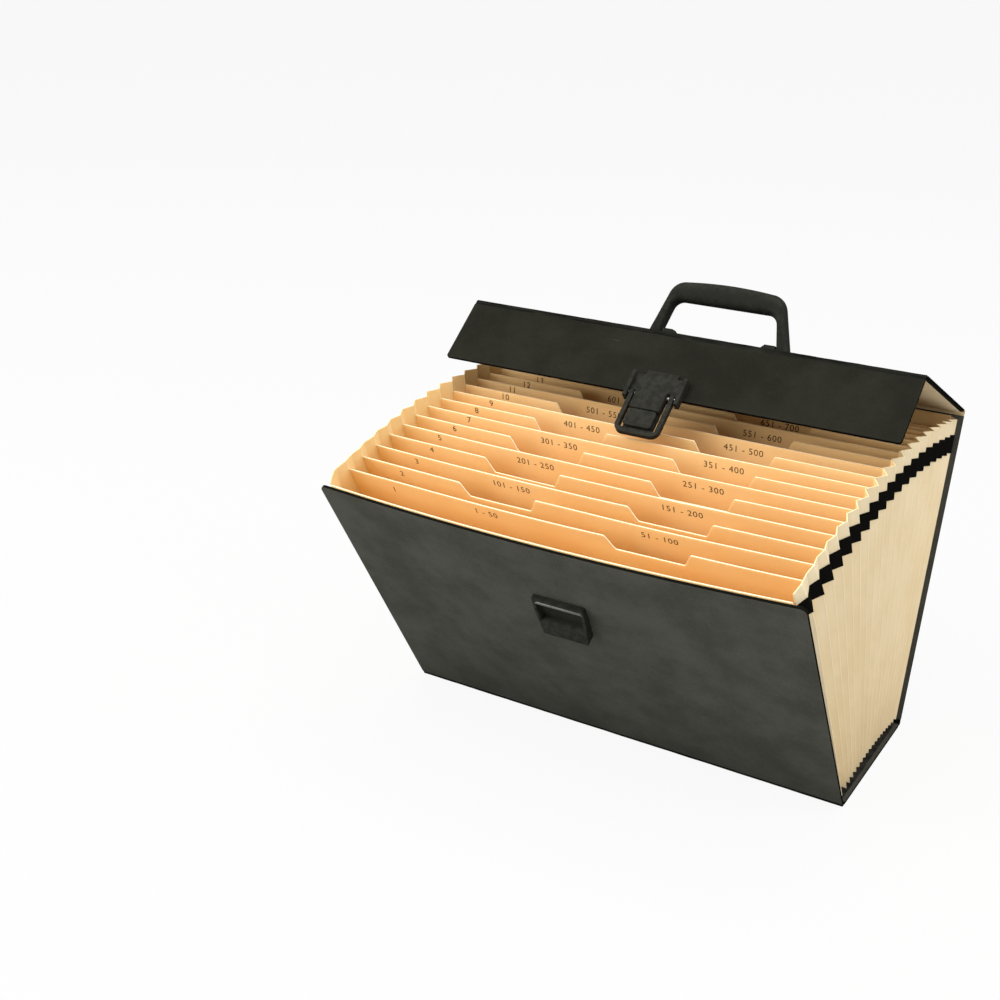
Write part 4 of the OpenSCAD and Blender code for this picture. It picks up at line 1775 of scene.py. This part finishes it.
@dataclass
class CarryingHandle:
    """The moulded handle: splayed legs, rounded bends and a crowned grip."""

    case: CaseSizes
    seat: float = 76.0
    pivot_h: float = 9.5
    width: float = 125.0
    bend_w: float = 103.0
    height: float = 47.0
    window_w: float = 94.0
    window_r: float = 10.0
    bend_r: float = 14.0
    crown_drop: float = 2.0
    grip_h: float = 19.0
    grip_half_d: float = 8.0
    leg_w: float = 11.5
    leg_half_d: float = 5.5
    roundness: float = 2.5
    ring_points: int = 28

    @property
    def top(self) -> float:
        """Height of the grip's crown above the lid."""
        return self.pivot_h + self.height

    def edge(self, foot: Point2, bend: Point2, radius: float, top: float) -> list[Point2]:
        """One edge of the right half's face: up the leg, round the bend and in to the middle.

        Args:
            foot: The edge at the pivot.
            bend: Centre of the bend.
            radius: Radius of the bend.
            top: Height of the edge in the middle.

        Returns:
            The same number of points for every edge.
        """
        reach = math.dist(foot, bend)
        start = math.atan2(foot[1] - bend[1], foot[0] - bend[0]) + math.acos(radius / reach)
        touch = (bend[0] + radius * math.cos(start), bend[1] + radius * math.sin(start))
        leg = [
            (between(foot[0], touch[0], i / 9), between(foot[1], touch[1], i / 9))
            for i in range(9)
        ]
        turns = [between(start, math.pi / 2, i / 10) for i in range(11)]
        arc = [(bend[0] + radius * math.cos(a), bend[1] + radius * math.sin(a)) for a in turns]
        sag = top - arc[-1][1]
        span = [(bend[0] * (1 - i / 8), top - sag * (1 - i / 8) ** 2) for i in range(1, 9)]
        return leg + arc + span

    def edges(self) -> list[tuple[Point2, Point2]]:
        """Outer and inner edge of the right half's face, from the pivot to the middle.

        Returns:
            Pairs of an outer and an inner place.
        """
        half, inner = self.width / 2, self.width / 2 - self.leg_w
        bend = (self.bend_w / 2 - self.bend_r, self.top - self.crown_drop - self.bend_r)
        corner = (self.window_w / 2 - self.window_r, self.top - self.grip_h - self.window_r)
        outside = self.edge((half, self.pivot_h), bend, self.bend_r, self.top)
        inside = self.edge((inner, self.pivot_h), corner, self.window_r, self.top - self.grip_h)
        return list(zip(outside, inside))

    def half_depth(self, up: float) -> float:
        """Half of the handle's depth at a height above the lid.

        Args:
            up: The height.

        Returns:
            Half of the depth.
        """
        top = self.top - self.grip_half_d
        share = min(1.0, max(0.0, (up - self.pivot_h) / (top - self.pivot_h)))
        return between(self.leg_half_d, self.grip_half_d, share)

    def build(self) -> bpy.types.Object:
        """Builds the handle.

        Returns:
            The handle.
        """
        frame = self.case.lid().shifted(self.seat, -self.case.board_t, 180)
        foot_r = self.leg_w / 2
        foot_x = self.width / 2 - foot_r
        steps = []
        for turn in (78, 60, 40, 20):
            angle = math.radians(turn)
            up, wide = self.pivot_h - foot_r * math.sin(angle), foot_r * math.cos(angle)
            deep = self.leg_half_d * math.cos(angle)
            steps.append(((foot_x + wide, up), (foot_x - wide, up), deep))
        for outer, inner in self.edges():
            steps.append((outer, inner, self.half_depth((outer[1] + inner[1]) / 2)))
        mirrored = [((-o[0], o[1]), (-i[0], i[1]), d) for o, i, d in steps[-2::-1]]
        shell = Shell()
        rings = []
        for place, (outer, inner, depth) in enumerate(steps + mirrored):
            middle = Vector(((outer[0] + inner[0]) / 2, (outer[1] + inner[1]) / 2))
            reach = Vector(outer) - middle
            ring = []
            for i in range(self.ring_points):
                angle = math.tau * i / self.ring_points
                across, along = self._squared(math.cos(angle)), self._squared(math.sin(angle))
                spot = middle + reach * across
                ring.append(shell.add(frame.point(spot.x, along * depth, spot.y), (place, i)))
            rings.append(ring)
        shell.tube(rings)
        piece = shell.piece("handle_grip", Finish.PLASTIC, 60)
        mark_corners(piece)
        return seated(piece, "handle", "handle")

    def _squared(self, value: float) -> float:
        """Coordinate of a rounded square section from that of a circle."""
        return math.copysign(abs(value) ** (2 / self.roundness), value)


@dataclass
class ButtonSpring:
    """The small coil spring under the release button."""

    case: CaseSizes
    pin_drop: float = 3.0
    pin_out: float = 4.0
    knuckle_r: float = 2.7
    seat_y: float = -23.5
    tongue_t: float = 2.2
    gap: float = 1.9
    travel: float = 1.6
    coil_r: float = 2.6
    wire_r: float = 0.28
    turns: float = 3.0

    def build(self) -> bpy.types.Object:
        """Builds the spring.

        Returns:
            The spring.
        """
        face = self.case.flap().shifted(self.case.flap_l, -self.case.board_t, 180)
        frame = face.shifted(-self.pin_drop, self.pin_out - self.knuckle_r)
        low = self.tongue_t + self.wire_r
        high = self.tongue_t + self.gap - self.wire_r
        shell = Shell()
        rings = []
        count = int(self.turns * 20)
        for i in range(count + 1):
            angle = math.tau * self.turns * i / count
            height = between(low, high, i / count)
            ring = []
            for j in range(8):
                turn = math.tau * j / 8
                radius = self.coil_r + self.wire_r * math.cos(turn)
                lift = height + self.wire_r * math.sin(turn)
                x, y = radius * math.cos(angle), self.seat_y + radius * math.sin(angle)
                ring.append(shell.add(frame.point(x, y, lift)))
            rings.append(ring)
        shell.tube(rings)
        piece = shell.piece("button_spring_coil", Finish.STEEL, 60)
        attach(piece, "hasp")
        anchor = frame.point(0, self.seat_y, self.tongue_t) * MM
        keep = (self.gap - self.travel) / self.gap
        axis = tuple(frame.normal())
        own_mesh(piece)
        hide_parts("button_spring")
        return piece


@dataclass
class Fittings:
    """The handle, its bracket, the hasp, the catch and their small steel parts."""

    case: CaseSizes
    moulded: tuple[tuple[str, str, float], ...] = (
        ("catch", "front_panel", 0.5), ("handle_bracket", "lid", 0.6), ("hasp_plate", "flap", 0.5),
        ("hasp_frame", "hasp", 0.7), ("hasp_tongue", "hasp", 0.5),
        ("release_button", "release_button", 0.45),
    )
    steel: tuple[tuple[str, str, float], ...] = (
        ("catch_keeper", "front_panel", 0.2), ("catch_rivets", "front_panel", 0.25),
        ("catch_backing_plate", "front_panel", 0.2), ("bracket_rivets", "lid", 0.25),
        ("bracket_backing_plate", "lid", 0.2), ("handle_pins", "handle", 0.3),
        ("hasp_rivets", "flap", 0.25), ("hasp_backing_plate", "flap", 0.2),
        ("hasp_pin", "flap", 0.2),
    )

    def build(self, nodes: dict[str, bpy.types.Object]) -> list[bpy.types.Object]:
        """Builds all fittings.

        Args:
            nodes: The CAD nodes by name.

        Returns:
            The pieces.
        """
        rows = [(*row, Finish.PLASTIC) for row in self.moulded]
        for row in self.steel:
            rows.append((*row, Finish.KEEPER if row[0] == "catch_keeper" else Finish.STEEL))
        pieces = [Fitting(node, body, finish, width).build(nodes)
                  for node, body, width, finish in rows]
        return [*pieces, CarryingHandle(self.case).build(), ButtonSpring(self.case).build()]


@dataclass
class Linings:
    """The glued lining sheets of the base, the lid and the flap."""

    case: CaseSizes
    lid_start: float = 1.4
    lid_end: float = 5.5
    sheets: tuple[tuple[str, str, Finish], ...] = (
        ("base_lining", "base", Finish.LINING), ("flap_lining", "flap", Finish.LINING),
    )

    def lid_sheet(self) -> bpy.types.Object:
        """The lid's paper lining, which runs on over the rear fold's inner side.

        Returns:
            The piece.
        """
        case = self.case
        half = case.half_w - case.lining_inset
        shell = card(
            case.lid(), [between(-half, half, i / 24) for i in range(25)],
            [i / 8 for i in range(9)], lambda x: self.lid_start,
            lambda x: case.lid_d - self.lid_end, 0.0, case.lining_t,
            lambda x, s: 0.25 * abs(soft_noise(x / 40, s / 30, 5.0)),
        )
        return shell.piece("lid_lining_sheet", Finish.PLEAT, 40)

    def build(self, nodes: dict[str, bpy.types.Object]) -> list[bpy.types.Object]:
        """Builds the linings.

        Args:
            nodes: The CAD nodes by name.

        Returns:
            The pieces.
        """
        pieces = []
        for node, body, finish in [("lid_lining", "lid", Finish.PLEAT), *self.sheets]:
            if finish is Finish.PLEAT:
                piece = self.lid_sheet()
            else:
                piece = softened(nodes[node], node + "_sheet", 0.12, finish)
            pieces.append(seated(piece, body, node))
        return pieces


# ------------------------------------------------------------------ stage


@dataclass
class Studio:
    """Pale floor, soft lamps and the camera at the photograph's angle."""

    azimuth: float = 30.993
    elevation: float = 21.821
    roll: float = 1.127
    camera_at: tuple[float, float, float] = (441.8, -1000.7, 614.8)
    lens: float = 51.91
    floor_size: float = 60.0
    sky: float = 0.36
    floor_drop: float = 0.0004
    target: tuple[float, float, float] = (0.0, -0.02, 0.17)
    # Name, place and side in metres, and power in watts
    lamps: tuple[tuple[str, tuple[float, float, float], float, float], ...] = (
        ("key", (-1.8, -2.1, 1.7), 2.6, 80.0), ("fill", (2.7, 0.1, 1.6), 2.8, 44.0),
        ("top", (0.1, -0.5, 2.6), 2.4, 52.0),
    )

    def camera(self) -> None:
        """Places the camera."""
        az, el, roll = (math.radians(v) for v in (self.azimuth, self.elevation, self.roll))
        back = Vector((math.sin(az) * math.cos(el), -math.cos(az) * math.cos(el), math.sin(el)))
        right = Vector((math.cos(az), math.sin(az), 0.0))
        up = back.cross(right)
        right, up = (
            right * math.cos(roll) + up * math.sin(roll),
            up * math.cos(roll) - right * math.sin(roll),
        )
        turn = Matrix((right, up, back)).transposed().to_4x4()
        camera = bpy.data.cameras.new("camera")
        camera.lens = self.lens
        camera.sensor_width = 36.0
        camera.sensor_fit = "HORIZONTAL"
        camera.clip_start = 0.05
        camera.clip_end = 200.0
        holder = bpy.data.objects.new("camera", camera)
        holder.matrix_world = Matrix.Translation(Vector(self.camera_at) * MM) @ turn
        bpy.context.scene.collection.objects.link(holder)
        bpy.context.scene.camera = holder

    def lamp(self, name: str, at: tuple[float, float, float], size: float, watts: float) -> None:
        """Adds one square soft lamp that looks at the object.

        Args:
            name: Name of the lamp.
            at: Its place in metres.
            size: Its side in metres.
            watts: Its power.
        """
        light = bpy.data.lights.new(name, "AREA")
        light.size = size
        light.energy = watts
        holder = bpy.data.objects.new(name, light)
        place, target = Vector(at), Vector(self.target)
        holder.location = place
        holder.rotation_euler = (target - place).to_track_quat("-Z", "Y").to_euler()
        bpy.context.scene.collection.objects.link(holder)

    def backdrop(self) -> None:
        """Sets the world: white to the camera and to transmission rays, soft light to the object.
        """
        world = bpy.data.worlds.new("studio")
        bpy.context.scene.world = world
        world.use_nodes = True
        tree = world.node_tree
        tree.nodes.clear()
        ray = tree.nodes.new("ShaderNodeLightPath")
        seen = tree.nodes.new("ShaderNodeMath")
        seen.operation = "MAXIMUM"
        tree.links.new(ray.outputs["Is Camera Ray"], seen.inputs[0])
        tree.links.new(ray.outputs["Is Transmission Ray"], seen.inputs[1])
        strength = tree.nodes.new("ShaderNodeMapRange")
        strength.inputs["To Min"].default_value = self.sky
        strength.inputs["To Max"].default_value = 1.0
        tree.links.new(seen.outputs[0], strength.inputs["Value"])
        light = tree.nodes.new("ShaderNodeBackground")
        light.inputs["Color"].default_value = (1.0, 1.0, 1.0, 1.0)
        tree.links.new(strength.outputs[0], light.inputs["Strength"])
        end = tree.nodes.new("ShaderNodeOutputWorld")
        tree.links.new(light.outputs[0], end.inputs["Surface"])

    def floor(self) -> None:
        """Lays the floor, which stays white away from the object's shadow."""
        half = self.floor_size / 2
        mesh = bpy.data.meshes.new("floor")
        corners = [(-half, -half), (half, -half), (half, half), (-half, half)]
        mesh.from_pydata([(x, y, -self.floor_drop) for x, y in corners], [], [(0, 1, 2, 3)])
        paint = Paint("floor")
        ray = paint.node("ShaderNodeLightPath", output="Is Camera Ray")
        paper = paint.node("ShaderNodeBsdfDiffuse", None, {"Color": (0.6, 0.6, 0.59)})
        glow = paint.node("ShaderNodeEmission", None, {"Color": (1.0, 1.0, 1.0), "Strength": 1.0})
        paint.node_end(paint.node("ShaderNodeMixShader", None, {0: ray * 0.92, 1: paper, 2: glow}))
        mesh.materials.append(paint.material)
        holder = bpy.data.objects.new("floor", mesh)
        bpy.context.scene.collection.objects.link(holder)

    def build(self) -> None:
        """Builds the whole stage."""
        self.camera()
        self.backdrop()
        self.floor()
        for row in self.lamps:
            self.lamp(*row)
        bpy.context.scene.view_settings.view_transform = "Standard"


def main() -> None:
    """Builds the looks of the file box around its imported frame."""
    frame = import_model()
    case = CaseSizes()
    groups = {
        "boards": CoveredBoards(case).build(),
        "leaves": IndexLeaves(case).build(),
        "sides": PleatedSides(case).build(),
        "linings": Linings(case).build(frame["nodes"]),
        "fittings": Fittings(case).build(frame["nodes"]),
    }
    for name, pieces in groups.items():
        for piece in pieces:
            LOG.info("%s: %s, %d faces", name, piece.name, len(piece.data.polygons))
    Studio().build()


if __name__ == "__main__":
    logging.basicConfig(level=logging.INFO, format="%(message)s")
    main()
